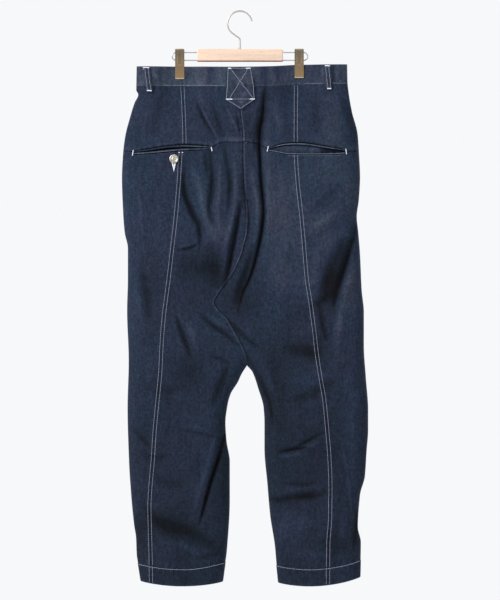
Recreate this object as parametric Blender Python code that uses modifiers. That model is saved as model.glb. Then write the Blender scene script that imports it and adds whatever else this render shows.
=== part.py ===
"""Denim jeans hanging by the waist from a two-clip wooden hanger, with their back to the viewer.

Metres, +Z up. The jeans' back faces -Y, their front faces +Y, and the origin is where a rail
bears inside the top of the hanger's hook. Heights on the cloth are given as a drop below the
waistband's top edge.
"""

import math
from collections import namedtuple

import bmesh
import bpy
from mathutils import Matrix, Vector

# Driving dimensions of the garment
WAIST_TOP_Z = -0.1035
WAISTBAND_HEIGHT = 0.038
CROTCH_X, CROTCH_DROP = 0.0134, 0.5745
HEM_HEIGHT = 0.032
CLOTH = 0.0013
WAISTBAND_CLOTH = 0.0026
HEM_CLOTH = 0.0024
SEAM_GAP = 0.0003
WAISTBAND_PROUD = 0.0008
EDGE_ROUNDNESS = 0.6

# How the clips pinch the waistband flat
CLIP_X = (-0.1155, 0.1135)
CLIP_WIDTH = 0.0176
CLIP_PINCH_DEPTH = 0.0018
PINCH_REACH = 0.026
PINCH_FULL_DROP, PINCH_END_DROP = 0.030, 0.120

# How finely the cloth is divided
EDGE_BAND = 0.020
EDGE_COLUMNS = 3
ROW_STEP = 0.032
CROTCH_ROWS = (0.548, 0.5645, CROTCH_DROP, 0.588)

BACK, FRONT = -1, 1
LEFT, RIGHT = "left", "right"

# The outline as the viewer sees it: x of an edge or a seam at each drop
Station = namedtuple("Station", "drop x")
LEFT_EDGE = (
    Station(-0.010, -0.1980), Station(0.029, -0.1987), Station(0.046, -0.1990),
    Station(0.055, -0.1950), Station(0.070, -0.2019), Station(0.097, -0.2104),
    Station(0.136, -0.2203), Station(0.166, -0.2240), Station(0.215, -0.2264),
    Station(0.279, -0.2242), Station(0.318, -0.2213), Station(0.350, -0.2150),
    Station(0.410, -0.2150), Station(0.469, -0.2165), Station(0.566, -0.2134),
    Station(0.655, -0.2156), Station(0.760, -0.2127), Station(0.822, -0.2087),
    Station(0.878, -0.2033), Station(0.905, -0.1993), Station(0.936, -0.1981),
    Station(0.957, -0.1950), Station(1.000, -0.1880),
)
RIGHT_EDGE = (
    Station(-0.010, 0.2055), Station(0.029, 0.2062), Station(0.053, 0.2087),
    Station(0.087, 0.2146), Station(0.131, 0.2257), Station(0.163, 0.2280),
    Station(0.213, 0.2303), Station(0.256, 0.2280), Station(0.289, 0.2240),
    Station(0.320, 0.2270), Station(0.362, 0.2303), Station(0.429, 0.2334),
    Station(0.472, 0.2376), Station(0.535, 0.2376), Station(0.597, 0.2414),
    Station(0.659, 0.2458), Station(0.697, 0.2458), Station(0.739, 0.2428),
    Station(0.787, 0.2395), Station(0.822, 0.2303), Station(0.884, 0.2261),
    Station(0.913, 0.2318), Station(0.948, 0.2313), Station(1.000, 0.2300),
)
LEFT_INSIDE_LEG = (
    Station(CROTCH_DROP, CROTCH_X), Station(0.590, 0.0034), Station(0.606, -0.0040),
    Station(0.629, -0.0180), Station(0.650, -0.0238), Station(0.684, -0.0278),
    Station(0.717, -0.0259), Station(0.759, -0.0195), Station(0.832, -0.0195),
    Station(0.927, -0.0249), Station(0.957, -0.0287), Station(1.000, -0.0345),
)
RIGHT_INSIDE_LEG = (
    Station(CROTCH_DROP, CROTCH_X), Station(0.586, 0.0235), Station(0.618, 0.0349),
    Station(0.655, 0.0452), Station(0.684, 0.0469), Station(0.733, 0.0469),
    Station(0.801, 0.0525), Station(0.860, 0.0577), Station(0.922, 0.0671),
    Station(0.957, 0.0701), Station(1.000, 0.0745),
)
CENTRE_BACK = (
    Station(0.000, 0.0015), Station(0.082, 0.0015), Station(0.136, 0.0065),
    Station(0.185, 0.0077), Station(0.247, 0.0120), Station(0.278, 0.0151),
    Station(0.316, 0.0130), Station(0.351, 0.0038), Station(0.389, -0.0120),
    Station(0.416, -0.0297), Station(0.438, -0.0460), Station(0.454, -0.0525),
    Station(0.468, -0.0450), Station(0.4825, -0.0297), Station(0.519, -0.0082),
    Station(0.548, 0.0060), Station(CROTCH_DROP, CROTCH_X),
)
CENTRE_FRONT = (
    Station(0.000, 0.0040), Station(0.200, 0.0060), Station(0.400, 0.0100),
    Station(CROTCH_DROP, CROTCH_X),
)
LEFT_PANEL_SEAM = (
    Station(0.030, -0.1107), Station(0.148, -0.1061), Station(0.166, -0.1130),
    Station(0.222, -0.1170), Station(0.280, -0.1217), Station(0.357, -0.1303),
    Station(0.406, -0.1360), Station(0.478, -0.1452), Station(0.527, -0.1494),
    Station(0.586, -0.1523), Station(0.634, -0.1569), Station(0.697, -0.1629),
    Station(0.759, -0.1671), Station(0.812, -0.1717), Station(0.843, -0.1732),
    Station(0.885, -0.1724), Station(0.937, -0.1709), Station(1.000, -0.1698),
)
RIGHT_PANEL_SEAM = (
    Station(0.030, 0.1075), Station(0.146, 0.1067), Station(0.174, 0.1071),
    Station(0.216, 0.1096), Station(0.289, 0.1174), Station(0.362, 0.1238),
    Station(0.407, 0.1276), Station(0.452, 0.1345), Station(0.504, 0.1414),
    Station(0.556, 0.1475), Station(0.597, 0.1539), Station(0.639, 0.1611),
    Station(0.703, 0.1673), Station(0.749, 0.1709), Station(0.801, 0.1730),
    Station(0.864, 0.1724), Station(0.916, 0.1690), Station(1.000, 0.1682),
)

# How far the cloth stands off the middle plane, behind and in front
Depth = namedtuple("Depth", "drop back front")
DEPTHS = (
    Depth(-0.010, 0.0100, 0.0100), Depth(0.040, 0.0130, 0.0130),
    Depth(0.100, 0.0210, 0.0190), Depth(0.160, 0.0270, 0.0240),
    Depth(0.300, 0.0320, 0.0270), Depth(0.450, 0.0320, 0.0280),
    Depth(0.575, 0.0300, 0.0270), Depth(0.700, 0.0270, 0.0250),
    Depth(0.850, 0.0240, 0.0230), Depth(1.000, 0.0230, 0.0220),
)

# Where edges that run across lie: x and the drop there
Level = namedtuple("Level", "x drop")
WAIST_LINE = (
    Level(-0.200, 0.0008), Level(-0.100, 0.0012), Level(0.000, 0.0018),
    Level(0.060, 0.0006), Level(0.114, -0.0023), Level(0.210, -0.0030),
)
YOKE_SEAM = (
    Level(-0.230, 0.1610), Level(-0.205, 0.1640), Level(-0.110, 0.1535),
    Level(-0.054, 0.1585), Level(-0.033, 0.1455), Level(0.019, 0.1455),
    Level(0.053, 0.1590), Level(0.204, 0.1640), Level(0.232, 0.1620),
)

# Welt pockets: x of both ends, and how far the mouth opens up and down at its widest place
Pocket = namedtuple("Pocket", "side start end widest lift sag")
POCKETS = (
    Pocket(LEFT, -0.2055, -0.0540, 0.50, 0.0008, 0.0008),
    Pocket(RIGHT, 0.0533, 0.2043, 0.34, 0.0110, 0.0040),
)
WELT_CLOTH = 0.0011
UPPER_WELT_HEIGHT, LOWER_WELT_HEIGHT = 0.0050, 0.0070
FACING_DEPTH = 0.055

Hem = namedtuple("Hem", "leg left_end middle right_end")
HEMS = (Hem(LEFT, 0.9885, 0.9965, 0.9880), Hem(RIGHT, 0.9905, 0.9960, 0.9800))

# The largest folds: a trough where height is negative, a ridge where it is positive
Fold = namedtuple("Fold", "x0 drop0 x1 drop1 bow width height")
BACK_FOLDS = (
    Fold(0.0345, 0.065, 0.0134, 0.430, 0.0170, 0.0095, -0.0105),
    Fold(0.0192, 0.088, -0.0040, 0.400, 0.0190, 0.0090, 0.0050),
    Fold(0.0020, 0.262, -0.0250, 0.400, 0.0030, 0.0070, -0.0070),
    Fold(-0.1073, 0.225, -0.0740, 0.350, -0.0030, 0.0110, -0.0040),
    Fold(-0.1303, 0.475, -0.0900, 0.570, 0.0040, 0.0110, -0.0045),
    Fold(-0.0766, 0.480, -0.0240, 0.565, -0.0040, 0.0085, -0.0035),
    Fold(0.0040, 0.495, 0.0480, 0.548, -0.0040, 0.0085, -0.0045),
    Fold(-0.0255, 0.690, -0.0800, 0.880, 0.0020, 0.0110, -0.0080),
    Fold(-0.1550, 0.900, -0.0600, 0.920, 0.0060, 0.0150, -0.0035),
    Fold(0.2130, 0.315, 0.1560, 0.500, -0.0100, 0.0130, -0.0070),
    Fold(0.0800, 0.545, 0.1560, 0.550, 0.0050, 0.0150, -0.0035),
    Fold(0.0600, 0.808, 0.1640, 0.828, 0.0060, 0.0160, -0.0045),
    Fold(-0.0670, 0.062, -0.0400, 0.150, 0.0030, 0.0080, -0.0030),
    Fold(-0.2030, 0.405, -0.1800, 0.510, 0.0020, 0.0080, 0.0025),
)
FRONT_FOLDS = (
    Fold(-0.0700, 0.110, -0.0560, 0.330, 0.0060, 0.0110, -0.0060),
    Fold(0.0450, 0.130, 0.0250, 0.400, 0.0080, 0.0110, -0.0070),
    Fold(0.1250, 0.330, 0.0500, 0.520, -0.0060, 0.0120, -0.0050),
    Fold(-0.1350, 0.350, -0.0450, 0.530, -0.0060, 0.0120, -0.0050),
    Fold(-0.1500, 0.620, -0.0600, 0.660, 0.0050, 0.0140, -0.0040),
    Fold(0.0900, 0.640, 0.1900, 0.700, 0.0050, 0.0140, -0.0040),
    Fold(-0.1700, 0.800, -0.0700, 0.850, 0.0050, 0.0150, -0.0040),
    Fold(0.0850, 0.830, 0.1900, 0.870, 0.0050, 0.0150, -0.0035),
)

# Belt loops: x at the top and the bottom, and the side of the jeans they are on
BeltLoop = namedtuple("BeltLoop", "name top_x bottom_x face")
BELT_LOOPS = (
    BeltLoop("belt_loop_back_left", -0.1790, -0.1730, BACK),
    BeltLoop("belt_loop_back_right", 0.1673, 0.1713, BACK),
    BeltLoop("belt_loop_front_left", -0.0700, -0.0690, FRONT),
    BeltLoop("belt_loop_front_right", 0.0740, 0.0730, FRONT),
)
LOOP_WIDTH, LOOP_CLOTH, LOOP_BOW = 0.0108, 0.0016, 0.0028
LOOP_START_DROP, LOOP_END_DROP = 0.0010, 0.0500

# The wide five-sided loop at the centre back
PATCH_TOP_WIDTH, PATCH_FOOT_WIDTH, PATCH_TIP_WIDTH = 0.0450, 0.0565, 0.0016
PATCH_TOP_DROP, PATCH_FOOT_DROP, PATCH_TIP_DROP = 0.0030, 0.0630, 0.0825
PATCH_TOP_X, PATCH_TIP_X = -0.0013, 0.0015
PATCH_CLOTH, PATCH_BOW = 0.0018, 0.0022

FLY_WIDTH, FLY_END_DROP = 0.038, 0.195

BUTTON_X, BUTTON_DROP = -0.1270, 0.1786
BUTTON_RADIUS, BUTTON_LIFT, SHANK_RADIUS = 0.0085, 0.0026, 0.0020
BUTTONHOLE_EYE, BUTTONHOLE_TAIL, THREAD_RADIUS = 0.0036, 0.0233, 0.0006
WAIST_BUTTON_X, WAIST_BUTTON_DROP = -0.0140, 0.0190

# The hanger
HOOK_WIRE, HOOK_RADIUS = 0.0017, 0.0236
HOOK_START_ANGLE, HOOK_END_ANGLE = math.radians(234.0), math.radians(10.0)
BAR_WIDTH, BAR_HEIGHT, BAR_THICKNESS = 0.1650, 0.0245, 0.0120
BAR_TOP_Z = -0.0710
RAIL_WIRE = 0.0011
RAIL_UPPER_Z, RAIL_LOWER_Z = -0.0777, -0.0927
RAIL_OUTER_X = 0.1300
SOCKET_DEPTH = 0.0110
JAW_THICKNESS = 0.0012
JAW_TOP_Z, JAW_FOOT_Z = -0.0724, -0.1286
SPRING_RADIUS, SPRING_BORE, SPRING_WIDTH = 0.0043, 0.0015, 0.0120


def smooth_curve(rows, key, value):
    """A cubic through the table's rows that never overshoots them, as a function."""
    keys = [getattr(row, key) for row in rows]
    values = [getattr(row, value) for row in rows]
    slopes = [
        (values[i + 1] - values[i]) / (keys[i + 1] - keys[i])
        for i in range(len(keys) - 1)
    ]
    tangents = [slopes[0]]
    for before, after in zip(slopes, slopes[1:]):
        agree = before * after > 0
        tangents.append(2 * before * after / (before + after) if agree else 0.0)
    tangents.append(slopes[-1])

    def curve(at):
        at = min(max(at, keys[0]), keys[-1])
        i = 0
        while i < len(keys) - 2 and at > keys[i + 1]:
            i += 1
        span = keys[i + 1] - keys[i]
        t = (at - keys[i]) / span
        return (
            values[i] * (1 + 2 * t) * (1 - t) ** 2
            + tangents[i] * span * t * (1 - t) ** 2
            + values[i + 1] * t * t * (3 - 2 * t)
            + tangents[i + 1] * span * t * t * (t - 1)
        )

    return curve


def along_drop(stations):
    return smooth_curve(stations, "drop", "x")


left_edge = along_drop(LEFT_EDGE)
right_edge = along_drop(RIGHT_EDGE)
left_inside_leg = along_drop(LEFT_INSIDE_LEG)
right_inside_leg = along_drop(RIGHT_INSIDE_LEG)
centre_back = along_drop(CENTRE_BACK)
centre_front = along_drop(CENTRE_FRONT)
left_panel_seam = along_drop(LEFT_PANEL_SEAM)
right_panel_seam = along_drop(RIGHT_PANEL_SEAM)
depth_of = {
    BACK: smooth_curve(DEPTHS, "drop", "back"),
    FRONT: smooth_curve(DEPTHS, "drop", "front"),
}
waist_line = smooth_curve(WAIST_LINE, "x", "drop")
yoke_seam = smooth_curve(YOKE_SEAM, "x", "drop")


def smoothstep(low, high, value):
    t = min(max((value - low) / (high - low), 0.0), 1.0)
    return t * t * (3 - 2 * t)


def mix(a, b, share):
    return a + (b - a) * share


def clip_pinch(x, drop):
    """How far the nearest clip flattens the cloth here, from 0 to 1."""
    beside = min(max(abs(x - clip) - CLIP_WIDTH / 2 - 0.001, 0.0) for clip in CLIP_X)
    below = 1 - smoothstep(PINCH_FULL_DROP, PINCH_END_DROP, drop)
    return below * math.exp(-((beside / PINCH_REACH) ** 2))


def fullness(distance, softness):
    """Share of the full depth, squared, that the cloth has at this distance in from a folded edge."""
    return 1 - math.exp(-2 * max(distance, -0.01) / softness)


def swell_squared(x, drop, face, leg):
    """The square of how far the cloth stands off the middle plane, before its folds."""
    deep = depth_of[face](drop)
    softness = deep / EDGE_ROUNDNESS
    swell = mix(deep, CLIP_PINCH_DEPTH, clip_pinch(x, drop)) ** 2
    if drop < CROTCH_DROP:
        notch = math.hypot(x - CROTCH_X, drop - CROTCH_DROP)
        swell *= fullness(x - left_edge(drop), softness)
        swell *= fullness(right_edge(drop) - x, softness)
    elif leg == LEFT:
        notch = left_inside_leg(drop) - x
        swell *= fullness(x - left_edge(drop), softness)
    else:
        notch = x - right_inside_leg(drop)
        swell *= fullness(right_edge(drop) - x, softness)
    return swell * fullness(notch, softness)


def fold_height(x, drop, face):
    """The sum of the folds that pass near this place, in metres outward."""
    total = 0.0
    for fold in BACK_FOLDS if face == BACK else FRONT_FOLDS:
        run, fall = fold.x1 - fold.x0, fold.drop1 - fold.drop0
        length = math.hypot(run, fall)
        along = ((x - fold.x0) * run + (drop - fold.drop0) * fall) / length**2
        if not 0 < along < 1:
            continue
        aside = ((x - fold.x0) * fall - (drop - fold.drop0) * run) / length
        aside -= fold.bow * 4 * along * (1 - along)
        across = math.exp(-((aside / fold.width) ** 2))
        total += fold.height * across * math.sin(math.pi * along) ** 0.8
    return total


def cloth_at(x, drop, face, leg):
    """The outer point of the cloth at this place, and its normal."""
    step = 0.0008
    swell = swell_squared(x, drop, face, leg)
    root = math.sqrt(max(swell, 0.0))
    settle = smoothstep(0.15, 0.75, root / depth_of[face](drop))

    def slope(dx, dd):
        ahead = (x + dx, drop + dd, face)
        behind = (x - dx, drop - dd, face)
        rise = swell_squared(*ahead, leg) - swell_squared(*behind, leg)
        folds = fold_height(*ahead) - fold_height(*behind)
        return (rise + 2 * root * settle * folds) / (2 * step)

    normal = Vector((-slope(step, 0), face * 2 * root, slope(0, step))).normalized()
    stand = root + settle * fold_height(x, drop, face) + SEAM_GAP / 2
    return Vector((x, face * stand, WAIST_TOP_Z - drop)), normal


def moved_out(place, lift):
    point, normal = place
    return point + normal * lift, normal


def material(name, colour, roughness, metallic=0.0):
    made = bpy.data.materials.new(name)
    made.use_nodes = True
    shader = made.node_tree.nodes["Principled BSDF"]
    shader.inputs["Base Color"].default_value = (*colour, 1.0)
    shader.inputs["Roughness"].default_value = roughness
    shader.inputs["Metallic"].default_value = metallic
    return made


def keep(name, mesh, finish, collection):
    made = bpy.data.objects.new(name, mesh)
    mesh.materials.append(finish)
    collection.objects.link(made)
    return made


def cloth_wall(name, places, thickness, finish, collection, closed=False):
    """A wall of cloth with its outer skin through the rows of places and its inner skin behind it.

    Each place is a point with its normal. A closed wall joins each row's end to its start.
    """
    shell = bmesh.new()
    outer = [[shell.verts.new(point) for point, _ in row] for row in places]
    inner = [
        [shell.verts.new(point - normal * thickness) for point, normal in row]
        for row in places
    ]
    rows, columns = len(places), len(places[0])
    spans = columns if closed else columns - 1
    for skin in (outer, inner):
        for r in range(rows - 1):
            for c in range(spans):
                d = (c + 1) % columns
                shell.faces.new((skin[r][c], skin[r][d], skin[r + 1][d], skin[r + 1][c]))
    for r in (0, rows - 1):
        for c in range(spans):
            d = (c + 1) % columns
            shell.faces.new((outer[r][c], inner[r][c], inner[r][d], outer[r][d]))
    if not closed:
        for c in (0, columns - 1):
            for r in range(rows - 1):
                s = r + 1
                shell.faces.new((outer[r][c], inner[r][c], inner[s][c], outer[s][c]))
    bmesh.ops.recalc_face_normals(shell, faces=shell.faces)
    mesh = bpy.data.meshes.new(name)
    shell.to_mesh(mesh)
    shell.free()
    mesh.shade_smooth()
    mesh.set_sharp_from_angle(angle=math.radians(50))
    return keep(name, mesh, finish, collection)


def spread(start, end, middle, tight_start=None, tight_end=None):
    """Places from start to end, closer together beside an end that is a folded edge.

    A tightness runs from 0, evenly spaced, to 1, and None is an end that is never an edge.
    """
    before = EDGE_COLUMNS if tight_start is not None else 0
    after = EDGE_COLUMNS if tight_end is not None else 0
    step = (end - start) / (before + middle + after)
    first = mix(step * before, EDGE_BAND, tight_start or 0.0)
    last = mix(step * after, EDGE_BAND, tight_end or 0.0)
    places = []
    for k in range(before):
        places.append(start + mix(step * k, EDGE_BAND * (k / before) ** 2, tight_start))
    for k in range(middle + 1):
        places.append(mix(start + first, end - last, k / middle))
    for k in range(after - 1, -1, -1):
        places.append(end - mix(step * k, EDGE_BAND * (k / after) ** 2, tight_end))
    return places


def leg_tightness(drop):
    """Below the crotch the inner end of a row is a folded edge, and above it a seam."""
    return smoothstep(CROTCH_DROP - 0.060, CROTCH_DROP, drop)


def waistband_foot(x):
    return waist_line(x) + WAISTBAND_HEIGHT


def mouth(x, way):
    """How far a pocket's mouth opens above (way -1) or below (way 1) the yoke seam here."""
    for pocket in POCKETS:
        if pocket.start < x < pocket.end:
            along = (x - pocket.start) / (pocket.end - pocket.start)
            skewed = along ** (math.log(0.5) / math.log(pocket.widest))
            arch = math.sin(math.pi * skewed)
            return way * arch * (pocket.lift if way < 0 else pocket.sag)
    return 0.0


def yoke_foot(x):
    return yoke_seam(x) + mouth(x, -1) - SEAM_GAP / 2


def panel_top(x):
    return yoke_seam(x) + mouth(x, 1) + SEAM_GAP / 2


def hem_foot(x, leg):
    """The drop of the hem's lower edge, along an arc through its two ends and its middle."""
    hem = HEMS[0] if leg == LEFT else HEMS[1]
    if leg == LEFT:
        start, end = left_edge(hem.left_end), left_inside_leg(hem.right_end)
    else:
        start, end = right_inside_leg(hem.left_end), right_edge(hem.right_end)
    t = (x - start) / (end - start)
    dip = hem.middle - (hem.left_end + hem.right_end) / 2
    return mix(hem.left_end, hem.right_end, t) + dip * 4 * t * (1 - t)


def hem_top(x, leg):
    return hem_foot(x, leg) - HEM_HEIGHT


def leg_rows(first):
    """Nominal drops of the rows of a panel that runs down to the hem, with closer ones at the crotch."""
    low = HEMS[0].left_end - HEM_HEIGHT
    above = round((CROTCH_ROWS[0] - first) / ROW_STEP)
    below = round((low - CROTCH_ROWS[-1]) / ROW_STEP)
    rows = [mix(first, CROTCH_ROWS[0], k / above) for k in range(above)]
    rows += CROTCH_ROWS[:-1]
    rows += [mix(CROTCH_ROWS[-1], low, k / below) for k in range(below + 1)]
    return rows


def long_panel(name, leg, face, first, top, columns_at, finish, collection):
    """A panel from a seam near the top down to the hem. Its rows follow both and are level between."""
    nominal = leg_rows(first)
    follow = 0.150
    places = []
    for drop in nominal:
        row = []
        for x in columns_at(drop):
            near_top = 1 - smoothstep(first, first + follow, drop)
            near_hem = smoothstep(nominal[-1] - follow, nominal[-1], drop)
            here = drop + near_top * (top(x) - first)
            here += near_hem * (hem_top(x, leg) - SEAM_GAP / 2 - nominal[-1])
            row.append(cloth_at(x, here, face, leg))
        places.append(row)
    return cloth_wall(name, places, CLOTH, finish, collection)


def left_outer_columns(drop):
    return spread(left_edge(drop), left_panel_seam(drop) - SEAM_GAP / 2, 3, 1.0)


def left_inner_columns(drop):
    end = centre_back(drop) - SEAM_GAP / 2
    if drop >= CROTCH_DROP:
        end = left_inside_leg(drop)
    return spread(left_panel_seam(drop) + SEAM_GAP / 2, end, 5, None, leg_tightness(drop))


def right_inner_columns(drop):
    start = centre_back(drop) + SEAM_GAP / 2
    if drop >= CROTCH_DROP:
        start = right_inside_leg(drop)
    return spread(start, right_panel_seam(drop) - SEAM_GAP / 2, 6, leg_tightness(drop))


def right_outer_columns(drop):
    return spread(right_panel_seam(drop) + SEAM_GAP / 2, right_edge(drop), 3, None, 1.0)


# The four pieces across the back, from the viewer's left
BackPiece = namedtuple("BackPiece", "name leg columns_at")
BACK_PIECES = (
    BackPiece("left_outer", LEFT, left_outer_columns),
    BackPiece("left_inner", LEFT, left_inner_columns),
    BackPiece("right_inner", RIGHT, right_inner_columns),
    BackPiece("right_outer", RIGHT, right_outer_columns),
)
YOKE_DROP = 0.160


def back_panels(finish, collection):
    for piece in BACK_PIECES:
        name = f"back_{piece.name}"
        shape = (piece.leg, BACK, YOKE_DROP, panel_top, piece.columns_at)
        long_panel(name, *shape, finish, collection)


def front_panels(finish, collection):
    half = SEAM_GAP / 2

    def left(drop):
        end = centre_front(drop) - half
        if drop >= CROTCH_DROP:
            end = left_inside_leg(drop)
        return spread(left_edge(drop), end, 5, 1.0, leg_tightness(drop))

    def right(drop):
        start = centre_front(drop) + half
        if drop >= CROTCH_DROP:
            start = right_inside_leg(drop)
        return spread(start, right_edge(drop), 5, leg_tightness(drop), 1.0)

    def top(x):
        return waistband_foot(x) + half

    for name, leg, columns_at in (("front_left", LEFT, left), ("front_right", RIGHT, right)):
        first = WAISTBAND_HEIGHT
        long_panel(name, leg, FRONT, first, top, columns_at, finish, collection)


def yokes(finish, collection):
    """The four panels between the waistband and the yoke seam."""
    rows = 5
    for piece in BACK_PIECES:
        places = []
        for r in range(rows + 1):
            row = []
            for x in piece.columns_at(mix(WAISTBAND_HEIGHT, YOKE_DROP, r / rows)):
                here = mix(waistband_foot(x) + SEAM_GAP / 2, yoke_foot(x), r / rows)
                row.append(cloth_at(x, here, BACK, piece.leg))
            places.append(row)
        cloth_wall(f"yoke_{piece.name}", places, CLOTH, finish, collection)


def waistbands(finish, collection):
    half = SEAM_GAP / 2
    rows = 3
    fly_edge = centre_front(0.0)
    for name, face, start, end, middle, tight in (
        ("waistband_back", BACK, None, None, 30, (1.0, 1.0)),
        ("waistband_front_left", FRONT, None, fly_edge - half, 15, (1.0, None)),
        ("waistband_front_right", FRONT, fly_edge + half, None, 15, (None, 1.0)),
    ):
        places = []
        for r in range(rows + 1):
            drop = mix(0.0, WAISTBAND_HEIGHT, r / rows)
            low = left_edge(drop) if start is None else start
            high = right_edge(drop) if end is None else end
            row = []
            for x in spread(low, high, middle, *tight):
                here = mix(waist_line(x), waistband_foot(x) - half, r / rows)
                leg = LEFT if x < CROTCH_X else RIGHT
                point, normal = cloth_at(x, here, face, leg)
                inward = Vector((normal.x, face * 0.001 + normal.y, 0)).normalized()
                proud = WAISTBAND_PROUD * abs(normal.y)
                row.append((point + Vector((0, face * proud, 0)), inward))
            places.append(row)
        cloth_wall(name, places, WAISTBAND_CLOTH, finish, collection)


def hems(finish, collection):
    """The turned-up band at the foot of each leg, a tube that hangs open."""
    rows = 2
    for name, leg, start_of, end_of in (
        ("hem_left", LEFT, left_edge, left_inside_leg),
        ("hem_right", RIGHT, right_inside_leg, right_edge),
    ):
        low = HEMS[0].left_end
        places = []
        for r in range(rows + 1):
            level = low - HEM_HEIGHT * (1 - r / rows)
            across = spread(start_of(level), end_of(level), 6, 1.0, 1.0)
            row = []
            for face, xs in ((BACK, across), (FRONT, across[-2:0:-1])):
                for x in xs:
                    here = mix(hem_top(x, leg) + SEAM_GAP / 2, hem_foot(x, leg), r / rows)
                    row.append(cloth_at(x, here, face, leg))
            places.append(row)
        cloth_wall(name, places, HEM_CLOTH, finish, collection, closed=True)


def pocket_pieces(finish, collection):
    """Two welts on each pocket's lips, and the facing that shows in its mouth."""
    columns = 14
    for pocket in POCKETS:
        leg = pocket.side
        xs = [mix(pocket.start, pocket.end, k / columns) for k in range(columns + 1)]
        upper, lower = [[], []], [[], []]
        for x in xs:
            for row, up in zip(upper, (UPPER_WELT_HEIGHT, 0.0)):
                place = cloth_at(x, yoke_foot(x) - up, BACK, leg)
                row.append(moved_out(place, SEAM_GAP + WELT_CLOTH))
            for row, down in zip(lower, (0.0, LOWER_WELT_HEIGHT)):
                place = cloth_at(x, panel_top(x) + down, BACK, leg)
                row.append(moved_out(place, SEAM_GAP + WELT_CLOTH))
        cloth_wall(f"welt_{leg}_upper", upper, WELT_CLOTH, finish, collection)
        cloth_wall(f"welt_{leg}_lower", lower, WELT_CLOTH, finish, collection)
        facing = []
        steps = 5
        for r in range(steps + 1):
            row = []
            for x in xs[::2]:
                drop = yoke_seam(x) - 0.020 + FACING_DEPTH * r / steps
                dip = 0.0012 + 0.0025 * math.sin(math.pi * r / steps)
                place = cloth_at(x, drop, BACK, leg)
                row.append(moved_out(place, -(CLOTH + SEAM_GAP + dip)))
            facing.append(row)
        cloth_wall(f"facing_{leg}", facing, 0.0010, finish, collection)


def belt_loops(finish, collection):
    steps = 8
    for loop in BELT_LOOPS:
        leg = LEFT if loop.top_x < CROTCH_X else RIGHT
        places = []
        for r in range(steps + 1):
            t = r / steps
            middle = mix(loop.top_x, loop.bottom_x, t)
            lift = SEAM_GAP + LOOP_CLOTH + LOOP_BOW * math.sin(math.pi * t) ** 0.5
            lift += WAISTBAND_PROUD
            row = []
            for side in (-0.5, 0.5):
                x = middle + side * LOOP_WIDTH
                drop = waist_line(x) + mix(LOOP_START_DROP, LOOP_END_DROP, t)
                place = cloth_at(x, drop, loop.face, leg)
                row.append(moved_out(place, lift))
            places.append(row)
        cloth_wall(loop.name, places, LOOP_CLOTH, finish, collection)


def centre_loop(finish, collection):
    """The wide loop at the centre back, with a pointed foot, held at its corners."""
    steps, columns = 12, 6
    foot_row = 9
    places = []
    for r in range(steps + 1):
        if r <= foot_row:
            t = r / foot_row
            drop = mix(PATCH_TOP_DROP, PATCH_FOOT_DROP, t)
            width = mix(PATCH_TOP_WIDTH, PATCH_FOOT_WIDTH, t)
            bow = PATCH_BOW * math.sin(math.pi * t) ** 0.5
        else:
            t = (r - foot_row) / (steps - foot_row)
            drop = mix(PATCH_FOOT_DROP, PATCH_TIP_DROP, t)
            width = mix(PATCH_FOOT_WIDTH, PATCH_TIP_WIDTH, t)
            bow = 0.0
        middle = mix(PATCH_TOP_X, PATCH_TIP_X, drop / PATCH_TIP_DROP)
        lift = SEAM_GAP + PATCH_CLOTH + WAISTBAND_PROUD + bow
        row = []
        for c in range(columns + 1):
            x = middle + width * (c / columns - 0.5)
            place = cloth_at(x, drop + waist_line(x), BACK, LEFT)
            row.append(moved_out(place, lift))
        places.append(row)
    cloth_wall("centre_back_loop", places, PATCH_CLOTH, finish, collection)


def fly(finish, collection):
    """The fly's stitched-on facing, square at the waistband and rounded at its foot."""
    steps, columns = 9, 4
    places = []
    for r in range(steps + 1):
        t = r / steps
        drop = mix(WAISTBAND_HEIGHT + 0.003, FLY_END_DROP, t)
        round_off = min(max((t - 0.7) / 0.3, 0.0), 1.0)
        width = FLY_WIDTH * max(math.sqrt(1 - round_off**2), 0.06)
        row = []
        for c in range(columns + 1):
            x = centre_front(drop) - 0.001 - width * (1 - c / columns)
            place = cloth_at(x, drop, FRONT, LEFT)
            row.append(moved_out(place, SEAM_GAP + 0.0012))
        places.append(row)
    cloth_wall("fly", places, 0.0012, finish, collection)


def turned(name, profile, steps, finish, collection):
    """A shape turned about its own Z from a profile of radius and height, top to bottom."""
    mesh = bpy.data.meshes.new(name)
    points = [(radius, 0.0, height) for radius, height in profile]
    mesh.from_pydata(points, [(i, i + 1) for i in range(len(points) - 1)], [])
    made = keep(name, mesh, finish, collection)
    screw = made.modifiers.new("turn", "SCREW")
    screw.steps = screw.render_steps = steps
    screw.use_merge_vertices = True
    screw.merge_threshold = 1e-5
    screw.use_normal_calculate = True
    return made


def face_along(made, point, direction):
    turn = Vector((0, 0, 1)).rotation_difference(direction)
    made.matrix_world = Matrix.Translation(point) @ turn.to_matrix().to_4x4()


def button(name, place, finish, collection):
    """A domed metal button with a rolled rim, on a shank that stands on the cloth."""
    lift, radius = BUTTON_LIFT, BUTTON_RADIUS
    profile = (
        (0.0, lift + 0.0016), (radius * 0.35, lift + 0.0015), (radius * 0.62, lift + 0.0009),
        (radius * 0.74, lift + 0.0007), (radius * 0.84, lift + 0.0015),
        (radius * 0.95, lift + 0.0013), (radius, lift + 0.0006), (radius * 0.94, lift),
        (SHANK_RADIUS, lift), (SHANK_RADIUS, SEAM_GAP), (0.0, SEAM_GAP),
    )
    point, normal = place
    face_along(turned(name, profile, 24, finish, collection), point, normal)


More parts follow.
